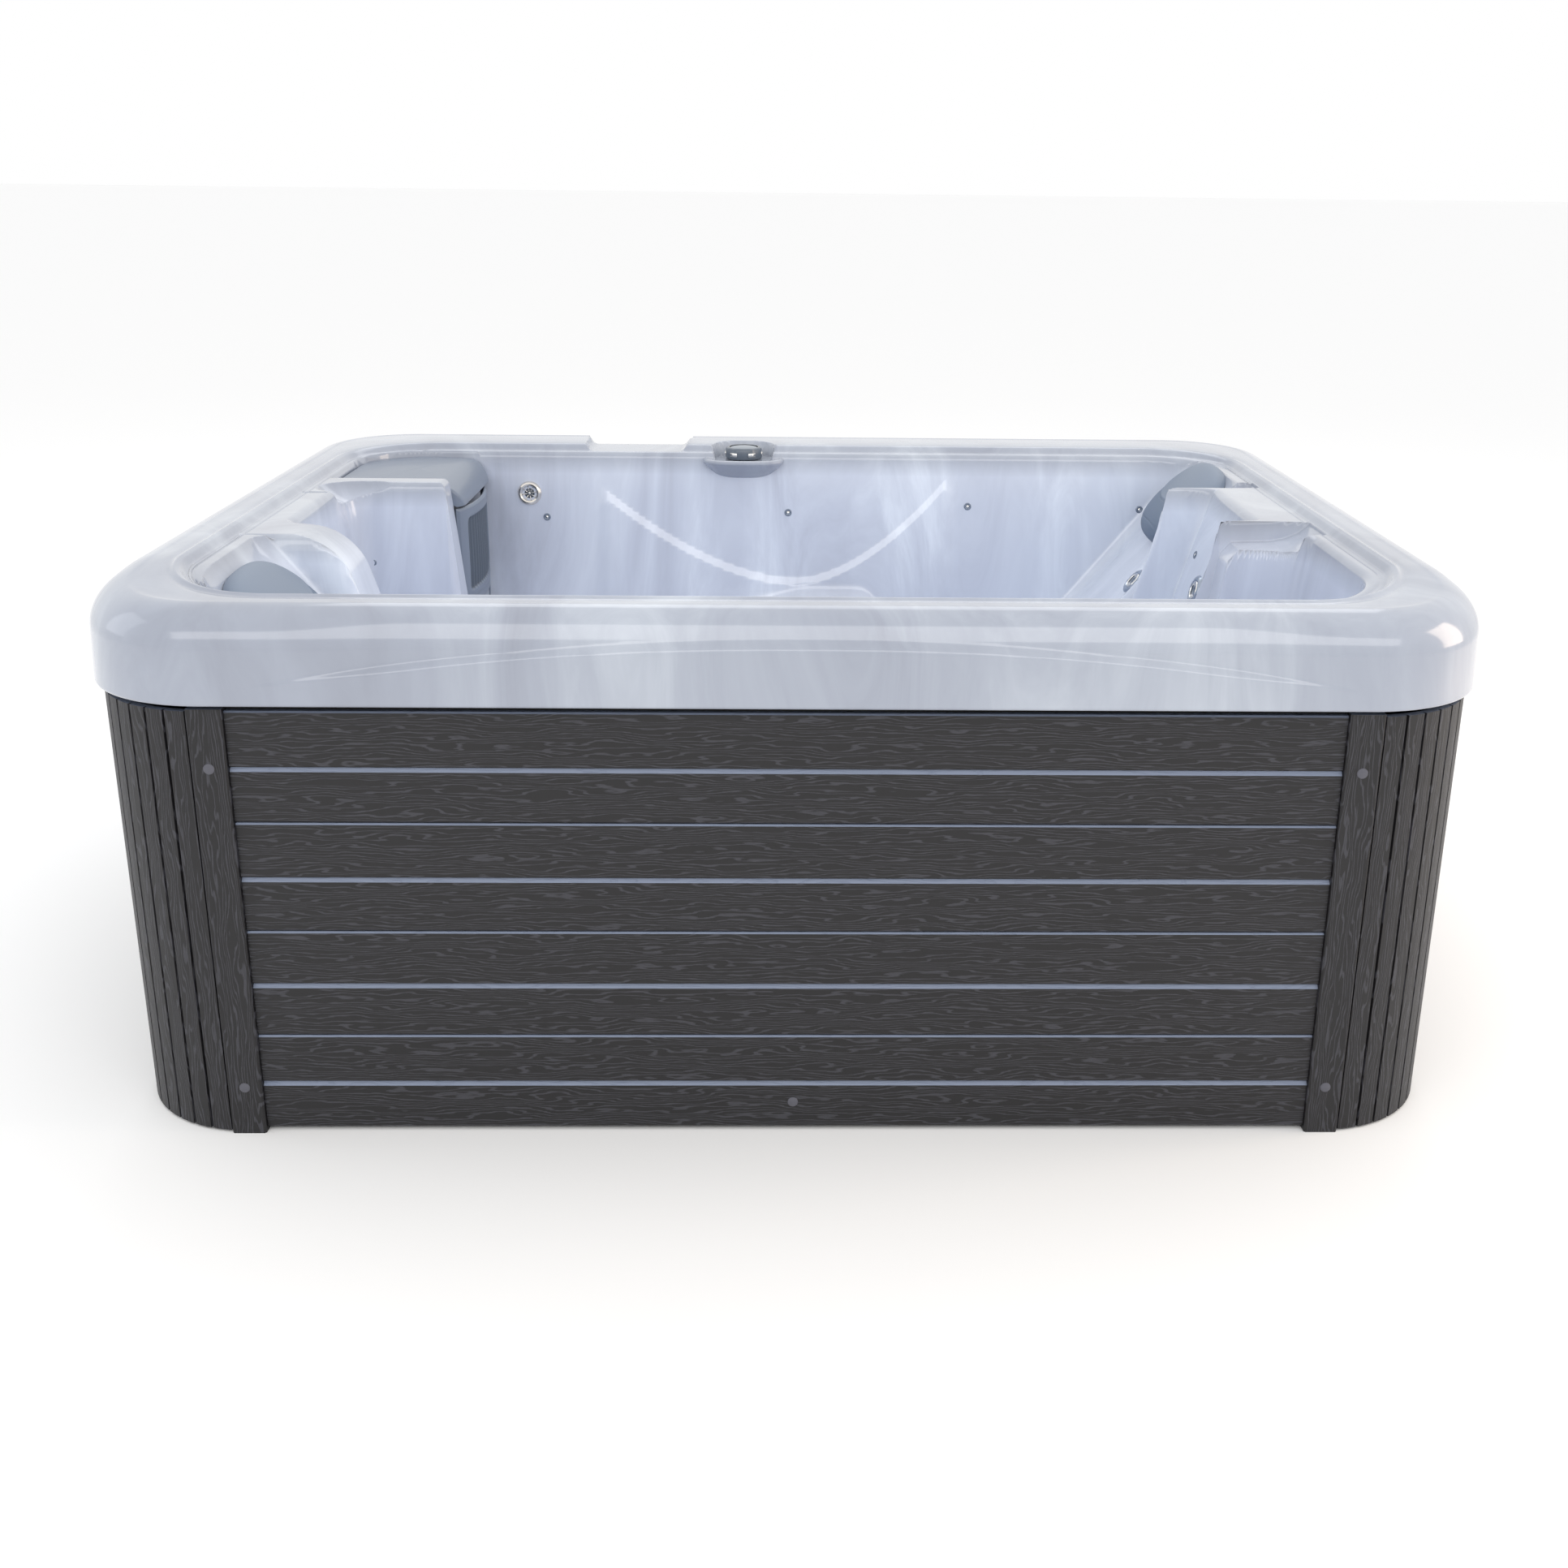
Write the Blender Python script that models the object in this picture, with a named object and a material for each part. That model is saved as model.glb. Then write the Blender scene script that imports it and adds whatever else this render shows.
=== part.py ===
"""Rectangular two-lounger hot tub: moulded acrylic shell on a board-clad cabinet.

Frame: metres, +X to the right, +Y to the back, +Z up, origin on the floor under the middle.
The front of the tub faces -Y.
"""

import math

import bmesh
import bpy
from mathutils import Matrix, Vector

# Driving dimensions
LENGTH, WIDTH, HEIGHT = 2.10, 1.60, 0.85
GAP = 0.0003
SHELL_WALL = 0.008
RIM_RADIUS = 0.216
BULLNOSE = 0.066
SKIRT_BOTTOM = 0.697
SKIRT_DRAFT = 0.003
LEDGE = 0.838          # level just inside the rim where the seats' walls begin
WALL_DRAFT = 0.12      # metres that a wall leans in for each metre down
BACKREST_LEAN = 0.87

RIM_X, RIM_FRONT, RIM_BACK = 0.925, -0.68, 0.60
OPENING_RADIUS = 0.17
LEDGE_WIDTH = 0.012
BATH_FRONT, BATH_BACK = -0.665, 0.585

CABINET_TOP = 0.686
CABINET_INSET = 0.014
BOARD_THICK = 0.012
BOARD_JOINTS = (0.006, 0.166, 0.340, 0.514, CABINET_TOP)
POST_WIDTH, POST_PROUD = 0.052, 0.008
POST_FROM_CORNER = 0.215
CORNER_RADIUS = 0.196
SLATS_PER_CORNER = 8
STUD_SPACING, STUD_WIDTH = 0.23, 0.045

FILTER_X0, FILTER_X1 = -0.915, -0.655
FILTER_Y0, FILTER_Y1 = 0.245, BATH_BACK
FILTER_FLOOR = 0.47
LID_TOP, LID_BOTTOM = 0.830, 0.778
LID_CORNER = 0.13
FILTER_FRONT_THICK = 0.012
WEIR_Z0, WEIR_HINGE_Z, WEIR_Z1 = 0.492, 0.497, 0.566
CARTRIDGE_RADIUS = 0.065

KNOB_X, KNOB_Y, KNOB_SEAT = -0.108, 0.615, 0.822
KNOB_RADIUS, KNOB_HEIGHT = 0.040, 0.026

JET_RADIUS = 0.030
RETURN_RADIUS = 0.026
HEADREST_HALF_WIDTH, HEADREST_HALF_LENGTH = 0.140, 0.098
KNEE_LEVEL = 0.52
FOOTWELL_FLOOR = 0.13

NOTCH_X0, NOTCH_X1, NOTCH_CREST = -0.450, -0.235, 0.705
NOTCH_FALL = math.radians(30)


# Materials

def finish(name, colour, roughness, metallic=0.0):
    """One Principled material: colour, roughness and metallic value."""
    made = bpy.data.materials.get(name) or bpy.data.materials.new(name)
    made.use_nodes = True
    shader = made.node_tree.nodes["Principled BSDF"]
    shader.inputs["Base Color"].default_value = (*colour, 1.0)
    shader.inputs["Roughness"].default_value = roughness
    shader.inputs["Metallic"].default_value = metallic
    return made


def make_finishes():
    return {
        "acrylic": finish("acrylic", (0.56, 0.60, 0.68), 0.12),
        "board": finish("board", (0.045, 0.045, 0.050), 0.55),
        "filter": finish("filter", (0.32, 0.37, 0.44), 0.40),
        "pillow": finish("pillow", (0.25, 0.29, 0.35), 0.60),
        "knob": finish("knob", (0.10, 0.12, 0.15), 0.30),
        "chrome": finish("chrome", (0.70, 0.70, 0.72), 0.12, 1.0),
        "jet": finish("jet", (0.30, 0.33, 0.38), 0.30),
        "pipework": finish("pipework", (0.80, 0.80, 0.80), 0.45),
        "steel": finish("steel", (0.55, 0.56, 0.58), 0.35, 1.0),
        "frame": finish("frame", (0.50, 0.36, 0.22), 0.70),
        "base": finish("base", (0.03, 0.03, 0.03), 0.60),
        "motor": finish("motor", (0.05, 0.05, 0.06), 0.45, 0.5),
        "paper": finish("paper", (0.78, 0.80, 0.82), 0.85),
        "key": finish("key", (0.62, 0.64, 0.68), 0.35),
    }


# Meshes

def add_object(name, mesh, material=None):
    made = bpy.data.objects.new(name, mesh)
    bpy.context.scene.collection.objects.link(made)
    if material:
        mesh.materials.append(material)
    return made


def mesh_of(name, points, faces):
    mesh = bpy.data.meshes.new(name)
    mesh.from_pydata([tuple(point) for point in points], [], faces)
    mesh.update()
    return mesh


def loft_mesh(name, rings):
    """Closed solid through rings of equal count, each counter-clockwise from above, first to last."""
    count = len(rings[0])
    points = [point for ring in rings for point in ring]
    faces = [list(range(count))[::-1]]
    for level in range(len(rings) - 1):
        low = level * count
        for i in range(count):
            j = (i + 1) % count
            faces.append((low + i, low + j, low + count + j, low + count + i))
    last = (len(rings) - 1) * count
    faces.append(list(range(last, last + count)))
    return mesh_of(name, points, faces)


def facing_out(mesh):
    fixed = bmesh.new()
    fixed.from_mesh(mesh)
    bmesh.ops.recalc_face_normals(fixed, faces=fixed.faces)
    fixed.to_mesh(mesh)
    fixed.free()
    return mesh


def rounded(x0, x1, y0, y1, radii, steps=6):
    """Rounded rectangle, counter-clockwise: radii for front-left, front-right, back-right, back-left."""
    if not isinstance(radii, tuple):
        radii = (radii,) * 4
    corners = ((x0, y0, 1, 1), (x1, y0, -1, 1), (x1, y1, -1, -1), (x0, y1, 1, -1))
    outline = []
    for index, ((x, y, sx, sy), radius) in enumerate(zip(corners, radii)):
        for step in range(steps + 1):
            angle = math.pi + (index + step / steps) * math.pi / 2
            outline.append((x + sx * radius + radius * math.cos(angle),
                            y + sy * radius + radius * math.sin(angle)))
    return outline


def level(outline, z):
    return [(x, y, z) for x, y in outline]


def box_mesh(name, low, high):
    outline = ((low[0], low[1]), (high[0], low[1]), (high[0], high[1]), (low[0], high[1]))
    return loft_mesh(name, [level(outline, low[2]), level(outline, high[2])])


def boxes_mesh(name, boxes):
    """Several separate boxes in one mesh, for use as a cutter."""
    joined = bmesh.new()
    for low, high in boxes:
        joined.from_mesh(box_mesh(name, low, high))
    mesh = bpy.data.meshes.new(name)
    joined.to_mesh(mesh)
    joined.free()
    return mesh


def turned_mesh(name, profile, steps=24):
    """Solid of revolution about +Z: profile is (radius, z) from the lowest to the highest point."""
    rings = []
    for radius, z in profile:
        rings.append([(radius * math.cos(2 * math.pi * i / steps),
                       radius * math.sin(2 * math.pi * i / steps), z) for i in range(steps)])
    return loft_mesh(name, rings)


def along(point, axis):
    """Matrix that carries +Z onto axis and the origin onto point."""
    turn = Vector((0, 0, 1)).rotation_difference(Vector(axis).normalized())
    return Matrix.Translation(Vector(point)) @ turn.to_matrix().to_4x4()


def placed(name, mesh, material, point=(0, 0, 0), axis=(0, 0, 1), smooth=False):
    made = add_object(name, mesh, material)
    made.matrix_world = along(point, axis)
    if smooth:
        mesh.shade_smooth()
        mesh.set_sharp_from_angle(angle=math.radians(35))
    return made


def cutter(name, mesh, point=(0, 0, 0), axis=(0, 0, 1)):
    made = add_object(name, mesh)
    made.matrix_world = along(point, axis)
    made.hide_render = True
    made.display_type = "WIRE"
    return made


def combine(target, other, operation):
    step = target.modifiers.new(other.name, "BOOLEAN")
    step.operation = operation
    step.solver = "EXACT"
    step.object = other


# Shell

def seat_wall(z):
    """How far a drafted wall has leaned in at height z."""
    return (LEDGE - z) * WALL_DRAFT


def well(top, floor, bottom, radii, grow, z_top=0.95):
    """Drafted hollow: rectangle at the ledge level, rectangle at the floor, grown by a wall's thickness."""
    rings = []
    corners = tuple(radius + grow for radius in (radii if isinstance(radii, tuple) else (radii,) * 4))
    slope_top = [b + (t - b) * (z_top - floor) / (LEDGE - floor) for t, b in zip(top, bottom)]
    drop = [b - (t - b) * grow / (LEDGE - floor) for t, b in zip(top, bottom)]
    for sides, z in ((drop, floor - grow), (slope_top, z_top)):
        x0, x1, y0, y1 = sides
        rings.append(level(rounded(x0 - grow, x1 + grow, y0 - grow, y1 + grow, corners), z))
    return loft_mesh("well", rings)


def lounger_profile():
    """Side view of a lounger, head at -X: backrest, seat, knees, calves, feet, as (x, z)."""
    step = 0.004
    return [(-0.61, LEDGE - 0.29 / BACKREST_LEAN - step),
            (-0.50, LEDGE - 0.40 / BACKREST_LEAN - step), (-0.43, 0.325), (-0.36, 0.310),
            (-0.29, 0.325), (-0.19, 0.490), (-0.160, KNEE_LEVEL), (-0.020, KNEE_LEVEL),
            (0.10, 0.490), (0.35, 0.440), (0.52, 0.420), (0.60, 0.440), (0.65, 0.520)]


def headrest_profile():
    """Side view of the hollow that the bather's back and head lie in, as (x, z)."""
    return [(-0.90, LEDGE), (-0.43, LEDGE - 0.47 / BACKREST_LEAN), (-0.30, 0.40)]


def profile_well(profile, outer, inner, turned, grow):
    """Hollow whose floor follows a side-view profile, between an outer and an inner drafted wall."""
    side = -1 if turned else 1
    grown = []
    for index, (x, z) in enumerate(profile):
        before = Vector(profile[max(index - 1, 0)])
        after = Vector(profile[min(index + 1, len(profile) - 1)])
        run = (after - before).normalized()
        grown.append((x + run.y * grow, z - run.x * grow))
    head = grown[0][0] + (0.95 - grown[0][1]) * -0.05
    foot = grown[-1][0] + (0.95 - grown[-1][1]) * 0.05
    outline = [(head, 0.95)] + grown + [(foot, 0.95)]
    walls = (outer - grow * (1 if outer < inner else -1), inner + grow * (1 if outer < inner else -1))
    lean = 1 if outer < inner else -1
    rings = []
    for wall, sign in zip(walls, (lean, -lean)):
        rings.append([(side * x, wall + sign * seat_wall(z), z) for x, z in outline])
    return facing_out(loft_mesh("profile_well", rings))


def rim_rings(grow):
    """Outside of the rim from the floor up: skirt, bullnose and deck; grow is how far it is drawn in."""
    rows = [(-grow * 8, 0.0), (SKIRT_BOTTOM, 0.0), (HEIGHT - BULLNOSE, SKIRT_DRAFT)]
    for step in range(1, 6):
        angle = step / 5 * math.pi / 2
        rows.append((HEIGHT - BULLNOSE + (BULLNOSE - grow) * math.sin(angle),
                     SKIRT_DRAFT + (BULLNOSE - grow) * (1 - math.cos(angle))))
    rings = []
    for z, inset in rows:
        inset += grow
        rings.append(level(rounded(-LENGTH / 2 + inset, LENGTH / 2 - inset, -WIDTH / 2 + inset,
                                   WIDTH / 2 - inset, RIM_RADIUS - inset), z))
    return rings


def notch_mesh(grow):
    """Control notch across the back rim: level from the bath to its crest, then falling outwards."""
    fall = math.tan(NOTCH_FALL)
    rear = 0.86
    floor = LEDGE - grow
    outline = [(0.57, floor), (NOTCH_CREST, floor), (rear, floor - (rear - NOTCH_CREST) * fall),
               (rear, 0.96), (0.57, 0.96)]
    rings = []
    for x, lean in ((NOTCH_X0 - grow, -0.3), (NOTCH_X1 + grow, 0.3)):
        rings.append([(x + lean * (z - floor), y, z) for y, z in outline])
    return loft_mesh("notch", rings)


def opening_rings(grow, low, high=0.95):
    """Straight walls of the opening inside the rim, from low to high."""
    return [level(rounded(-RIM_X - grow, RIM_X + grow, RIM_FRONT - grow, RIM_BACK + grow,
                          OPENING_RADIUS + grow), z) for z in (low, high)]


def hollows(grow):
    """Every hollow that the bather's side of the shell is made of."""
    r = 0.06
    lean = (LEDGE - 0.46) * WALL_DRAFT
    return {
        "opening": loft_mesh("opening", opening_rings(grow, LEDGE - grow)),
        "middle": well((-0.66, 0.66, -0.20, 0.17), 0.46, (-0.62, 0.62, -0.13, 0.10), r, grow),
        "left_recess": well((-0.87, -0.20, -0.17, 0.195), 0.48, (-0.825, -0.24, -0.14, 0.155), r, grow),
        "right_column": well((0.20, 0.83, -0.12, 0.20), 0.48, (0.24, 0.721, -0.10, 0.17), 0.03, grow),
        "front_right": well((0.35, 0.90, BATH_FRONT, -0.20), 0.46,
                            (0.38, 0.90 - lean, BATH_FRONT + lean, -0.215), 0.13, grow),
        "back_left": well((-0.655, -0.28, 0.08, BATH_BACK), 0.46,
                          (-0.652, -0.30, 0.10, BATH_BACK - lean), 0.02, grow),
        "footwell": well((-0.43, 0.43, -0.143, 0.113), FOOTWELL_FLOOR, (-0.38, 0.38, -0.11, 0.08),
                         0.05, grow, 0.60),
        "filter_well": well((FILTER_X0, -0.62, FILTER_Y0, FILTER_Y1), FILTER_FLOOR,
                            (FILTER_X0 + 0.02, -0.62, FILTER_Y0 + 0.01, FILTER_Y1 - 0.044),
                            (0.018, 0.018, 0.018, LID_CORNER), grow),
        "front_seat": profile_well(lounger_profile(), BATH_FRONT, -0.15, False, grow),
        "front_head": profile_well(headrest_profile(), BATH_FRONT, -0.30, False, grow),
        "back_seat": profile_well(lounger_profile(), BATH_BACK, 0.095, True, grow),
        "back_head": profile_well(headrest_profile(), BATH_BACK, 0.245, True, grow),
        "notch": notch_mesh(grow),
    }


def boss_mesh(shrink):
    """Bracket under the diverter knob: wide at the top, running back into the wall below."""
    top = rounded(KNOB_X - 0.080 + shrink, KNOB_X + 0.080 - shrink, 0.530 + shrink, 0.690, 0.05)
    foot = rounded(KNOB_X - 0.050 + shrink, KNOB_X + 0.050 - shrink, 0.620 + shrink, 0.690, 0.03)
    return loft_mesh("boss", [level(foot, 0.69), level(top, 0.80), level(top, KNOB_SEAT - shrink)])


def shell_body(name, draw_in):
    """The block of material above (draw_in 0) or below (one wall thickness) the moulded sheet."""
    body = add_object(name, loft_mesh(name, rim_rings(draw_in)))
    limit = cutter(f"{name}_limit", loft_mesh("limit", opening_rings(draw_in - LEDGE_WIDTH, -0.2, 1.0)))
    for part, mesh in hollows(draw_in).items():
        hollow = cutter(f"{name}_{part}", mesh)
        if part.endswith("_head"):
            combine(hollow, limit, "INTERSECT")
        combine(body, hollow, "DIFFERENCE")
    seat = rounded(KNOB_X - 0.062 - draw_in, KNOB_X + 0.062 + draw_in, 0.50, 0.665 + draw_in, 0.05)
    seat_mesh = loft_mesh("knob_seat", [level(seat, KNOB_SEAT - draw_in), level(seat, 0.95)])
    combine(body, cutter(f"{name}_boss", boss_mesh(draw_in)), "UNION")
    combine(body, cutter(f"{name}_knob_seat", seat_mesh), "DIFFERENCE")
    return body


def make_shell(finishes, holes):
    body = shell_body("shell", 0.0)
    body.data.materials.append(finishes["acrylic"])
    under = shell_body("shell_underside", SHELL_WALL)
    under.hide_render = True
    under.display_type = "WIRE"
    combine(body, under, "DIFFERENCE")
    far, near = 0.10, 0.030
    ring = [level(rounded(-LENGTH / 2 - d, LENGTH / 2 + d, -WIDTH / 2 - d, WIDTH / 2 + d,
                          RIM_RADIUS + d), z)
            for d, z in ((-near, SKIRT_BOTTOM), (-near, -0.2), (far, -0.2), (far, SKIRT_BOTTOM))]
    count = len(ring[0])
    faces = []
    for level_index in range(4):
        low, high = level_index * count, (level_index + 1) % 4 * count
        faces += [(low + i, low + (i + 1) % count, high + (i + 1) % count, high + i)
                  for i in range(count)]
    skirt_cut = mesh_of("skirt_cut", [p for row in ring for p in row], faces)
    combine(body, cutter("skirt_cut", skirt_cut), "DIFFERENCE")
    for index, (point, axis, radius) in enumerate(holes):
        drill = turned_mesh("hole", [(radius, -0.03), (radius, 0.03)], 20)
        combine(body, cutter(f"hole_{index}", drill, point, axis), "DIFFERENCE")


# Filter compartment

def make_filter(finishes):
    clear = 0.002
    x0, x1 = FILTER_X0 + 0.006, FILTER_X1 - clear
    y0, y1 = FILTER_Y0 + 0.004, FILTER_Y1 - 0.010
    radii = (0.012, 0.03, 0.03, LID_CORNER)

    def outline(inset, z):
        corner = tuple(max(r - inset, 0.004) for r in radii)
        return level(rounded(x0 + inset, x1 - inset, y0 + inset, y1 - inset, corner, 5), z)

    lid = loft_mesh("filter_lid", [
        outline(0.005, LID_TOP - 0.005), outline(0.005, LID_BOTTOM), outline(0.0, LID_BOTTOM),
        outline(0.0, LID_TOP - 0.012), outline(0.004, LID_TOP - 0.003), outline(0.012, LID_TOP)])
    placed("filter_lid", lid, finishes["filter"], smooth=True)

    front_x1 = FILTER_X1 - 0.004
    front_x0 = front_x1 - FILTER_FRONT_THICK
    top = LID_BOTTOM - 0.003
    front_y0, front_y1 = FILTER_Y0 + 0.012, FILTER_Y1 - 0.046
    front = placed("filter_front", box_mesh("filter_front", (front_x0, front_y0, FILTER_FLOOR + GAP),
                                            (front_x1, front_y1, top)), finishes["filter"])
    slots = 11
    window_y0, window_y1 = front_y0 + 0.035, front_y1 - 0.03
    pitch = (window_y1 - window_y0) / slots
    cuts = [((front_x0 - 0.01, window_y0 + i * pitch + 0.004, 0.600),
             (front_x1 + 0.01, window_y0 + (i + 1) * pitch - 0.004, top - 0.030))
            for i in range(slots)]
    cuts.append(((front_x0 - 0.01, window_y0, WEIR_Z0), (front_x1 + 0.01, window_y1, WEIR_Z1)))
    combine(front, cutter("filter_slots", boxes_mesh("filter_slots", cuts)), "DIFFERENCE")

    weir = box_mesh("weir_door", (-0.003, window_y0 + 0.002, -0.003),
                    (0.003, window_y1 - 0.002, WEIR_Z1 - WEIR_HINGE_Z - 0.003))
    door = add_object("weir_door", weir, finishes["filter"])
    door.location = ((front_x0 + front_x1) / 2, 0, WEIR_HINGE_Z)

    middle = (FILTER_X0 + CARTRIDGE_RADIUS + 0.035, (FILTER_Y0 + FILTER_Y1) / 2 - 0.01)
    foot = FILTER_FLOOR + GAP
    pleats = 32
    rings = []
    for z, scale in ((foot, 0.92), (foot + 0.012, 0.92), (foot + 0.012, 1.0), (foot + 0.230, 1.0),
                     (foot + 0.230, 0.92), (foot + 0.245, 0.92)):
        ring = []
        for i in range(pleats * 2):
            radius = CARTRIDGE_RADIUS * scale * (1.0 if i % 2 or scale < 1 else 0.94)
            angle = math.pi * i / pleats
            ring.append((middle[0] + radius * math.cos(angle), middle[1] + radius * math.sin(angle), z))
        rings.append(ring)
    placed("filter_cartridge", loft_mesh("filter_cartridge", rings), finishes["paper"])


# Headrests

def make_headrest(name, finishes, side, y_middle, down_slope):
    """Pillow lying on a sloping backrest: a crowned oval pad that follows the slope."""
    slope = Vector((BACKREST_LEAN, 0, -1)).normalized()
    out = Vector((1, 0, BACKREST_LEAN)).normalized()
    centre = Vector((-0.90, 0, LEDGE)) + slope * down_slope
    rings = []
    for height, scale in ((0.0015, 0.90), (0.012, 0.99), (0.028, 0.97), (0.042, 0.82), (0.050, 0.55)):
        ring = []
        for i in range(32):
            angle = 2 * math.pi * i / 32
            c, s = math.cos(angle), math.sin(angle)
            across = math.copysign(abs(c) ** 0.85, c) * HEADREST_HALF_WIDTH * scale
            down = math.copysign(abs(s) ** 0.85, s) * HEADREST_HALF_LENGTH * scale
            point = centre + slope * down + out * height
            ring.append((side * point.x, y_middle + across, point.z))
        rings.append(ring)
    mesh = facing_out(loft_mesh(name, rings))
    placed(name, mesh, finishes["pillow"], smooth=True)


# Jets, return, suction and diverter

def wall_fitting(name, finishes, point, axis, radius, face_finish):
    """A body clamped behind the wall and a face that turns in it; returns the hole it needs."""
    barrel = radius * 0.62
    body = turned_mesh(f"{name}_body", [
        (barrel * 0.9, -0.095), (barrel, -0.085), (barrel, -0.040), (radius, -0.038),
        (radius, -SHELL_WALL - 0.002), (barrel, -SHELL_WALL - 0.002), (barrel, -0.001),
        (barrel - 0.003, -0.001), (barrel - 0.003, -0.030), (0.003, -0.030)])
    placed(f"{name}_body", body, finishes["pipework"], point, axis, smooth=True)
    face = turned_mesh(f"{name}_face", [
        (0.004, -0.026), (barrel - 0.005, -0.026), (barrel - 0.005, GAP), (radius, GAP),
        (radius, 0.003), (radius * 0.88, 0.0065), (radius * 0.62, 0.0055), (radius * 0.52, 0.001),
        (radius * 0.30, 0.0005), (radius * 0.24, 0.004), (0.002, 0.0045)])
    placed(f"{name}_face", face, finishes[face_finish], point, axis, smooth=True)
    return (point, axis, barrel + GAP * 2)


def make_suction(finishes, point):
    """Domed cover screwed over the suction hole on the lounger's knee rest."""
    cover = turned_mesh("suction_cover", [
        (0.056, GAP), (0.056, 0.004), (0.052, 0.009), (0.040, 0.014), (0.022, 0.017), (0.004, 0.018)])
    placed("suction_cover", cover, finishes["jet"], point, smooth=True)
    pipe = turned_mesh("suction_fitting", [
        (0.022, -0.075), (0.024, -0.070), (0.024, -0.035), (0.045, -0.034), (0.045, -0.010),
        (0.024, -0.010), (0.024, -0.001), (0.018, -0.001), (0.018, -0.060), (0.003, -0.060)])
    placed("suction_fitting", pipe, finishes["pipework"], point, smooth=True)
    return (point, (0, 0, 1), 0.0245)


def make_diverter(finishes):
    seat = (KNOB_X, KNOB_Y, KNOB_SEAT)
    valve = turned_mesh("diverter_valve", [
        (0.020, -0.190), (0.0245, -0.185), (0.0245, -0.050), (0.0245, -0.0105), (0.0190, -0.0105),
        (0.0190, -0.001), (0.008, -0.001), (0.008, 0.005), (0.002, 0.005)])
    placed("diverter_valve", valve, finishes["pipework"], seat, smooth=True)
    r, h = KNOB_RADIUS, KNOB_HEIGHT
    knob = turned_mesh("diverter_knob", [
        (0.002, 0.006), (0.0085, 0.006), (0.0085, 0.0008), (r * 0.98, 0.0008), (r, 0.004),
        (r * 0.97, h - 0.008), (r * 0.86, h - 0.002), (r * 0.6, h), (0.002, h)], 32)
    placed("diverter_knob", knob, finishes["knob"], seat, smooth=True)
    return (seat, (0, 0, 1), 0.0196)


def make_control(finishes):
    """Control panel on the outward slope of the notch, with three keys that press in."""
    along_slope = 0.055
    middle = Vector(((NOTCH_X0 + NOTCH_X1) / 2, NOTCH_CREST + along_slope * math.cos(NOTCH_FALL),
                     LEDGE - along_slope * math.sin(NOTCH_FALL)))
    turn = Matrix.Translation(middle) @ Matrix.Rotation(-NOTCH_FALL, 4, "X")
    panel = loft_mesh("control_panel", [
        level(rounded(-0.075 + d, 0.075 - d, -0.032 + d, 0.032 - d, 0.012 - d, 4), z)
        for d, z in ((0.0, GAP), (0.0, 0.004), (0.003, 0.006))])
    plate = add_object("control_panel", panel, finishes["knob"])
    plate.matrix_world = turn
    pits = boxes_mesh("key_pits", [((x - 0.0115, -0.0215, 0.003), (x + 0.0115, -0.0005, 0.02))
                                   for x in (-0.035, 0.0, 0.035)])
    pit = cutter("key_pits", pits)
    pit.matrix_world = turn
    combine(plate, pit, "DIFFERENCE")
    for index, x in enumerate((-0.035, 0.0, 0.035), 1):
        key = loft_mesh(f"control_key_{index}", [
            level(rounded(-0.011 + d, 0.011 - d, -0.010 + d, 0.010 - d, 0.004 - d, 3), z)
            for d, z in ((0.0, 0.0045), (0.0, 0.0070), (0.001, 0.0078))])
        made = add_object(f"control_key_{index}", key, finishes["key"])
        made.matrix_world = turn @ Matrix.Translation((x, -0.011, 0))


# Cabinet

def board_section(z0, z1):
    """Cross-section of a double-plank board as (depth, z): a bevelled groove halfway up."""
    groove = (z0 + z1) / 2
    gap = 0.0006
    return [(BOARD_THICK, z0 + gap), (0.0025, z0 + gap), (0.0, z0 + 0.003), (0.0, groove - 0.007),
            (0.0045, groove - 0.001), (0.0045, groove + 0.0005), (0.0, groove + 0.002),
            (0.0, z1 - 0.003), (0.0025, z1 - gap), (BOARD_THICK, z1 - gap)]


def side_map(side):
    """Turns (along, depth, z) on a side into world coordinates; depth runs inwards."""
    face_x, face_y = LENGTH / 2 - CABINET_INSET - 0.006, WIDTH / 2 - CABINET_INSET - 0.006
    return {
        "front": lambda u, d, z: (u, -face_y + d, z),
        "back": lambda u, d, z: (-u, face_y - d, z),
        "right": lambda u, d, z: (face_x - d, u, z),
        "left": lambda u, d, z: (-face_x + d, -u, z),
    }[side]


def extruded(name, section, u0, u1, place):
    rings = [[place(u, d, z) for d, z in section] for u in (u0, u1)]
    return facing_out(loft_mesh(name, rings))


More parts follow.
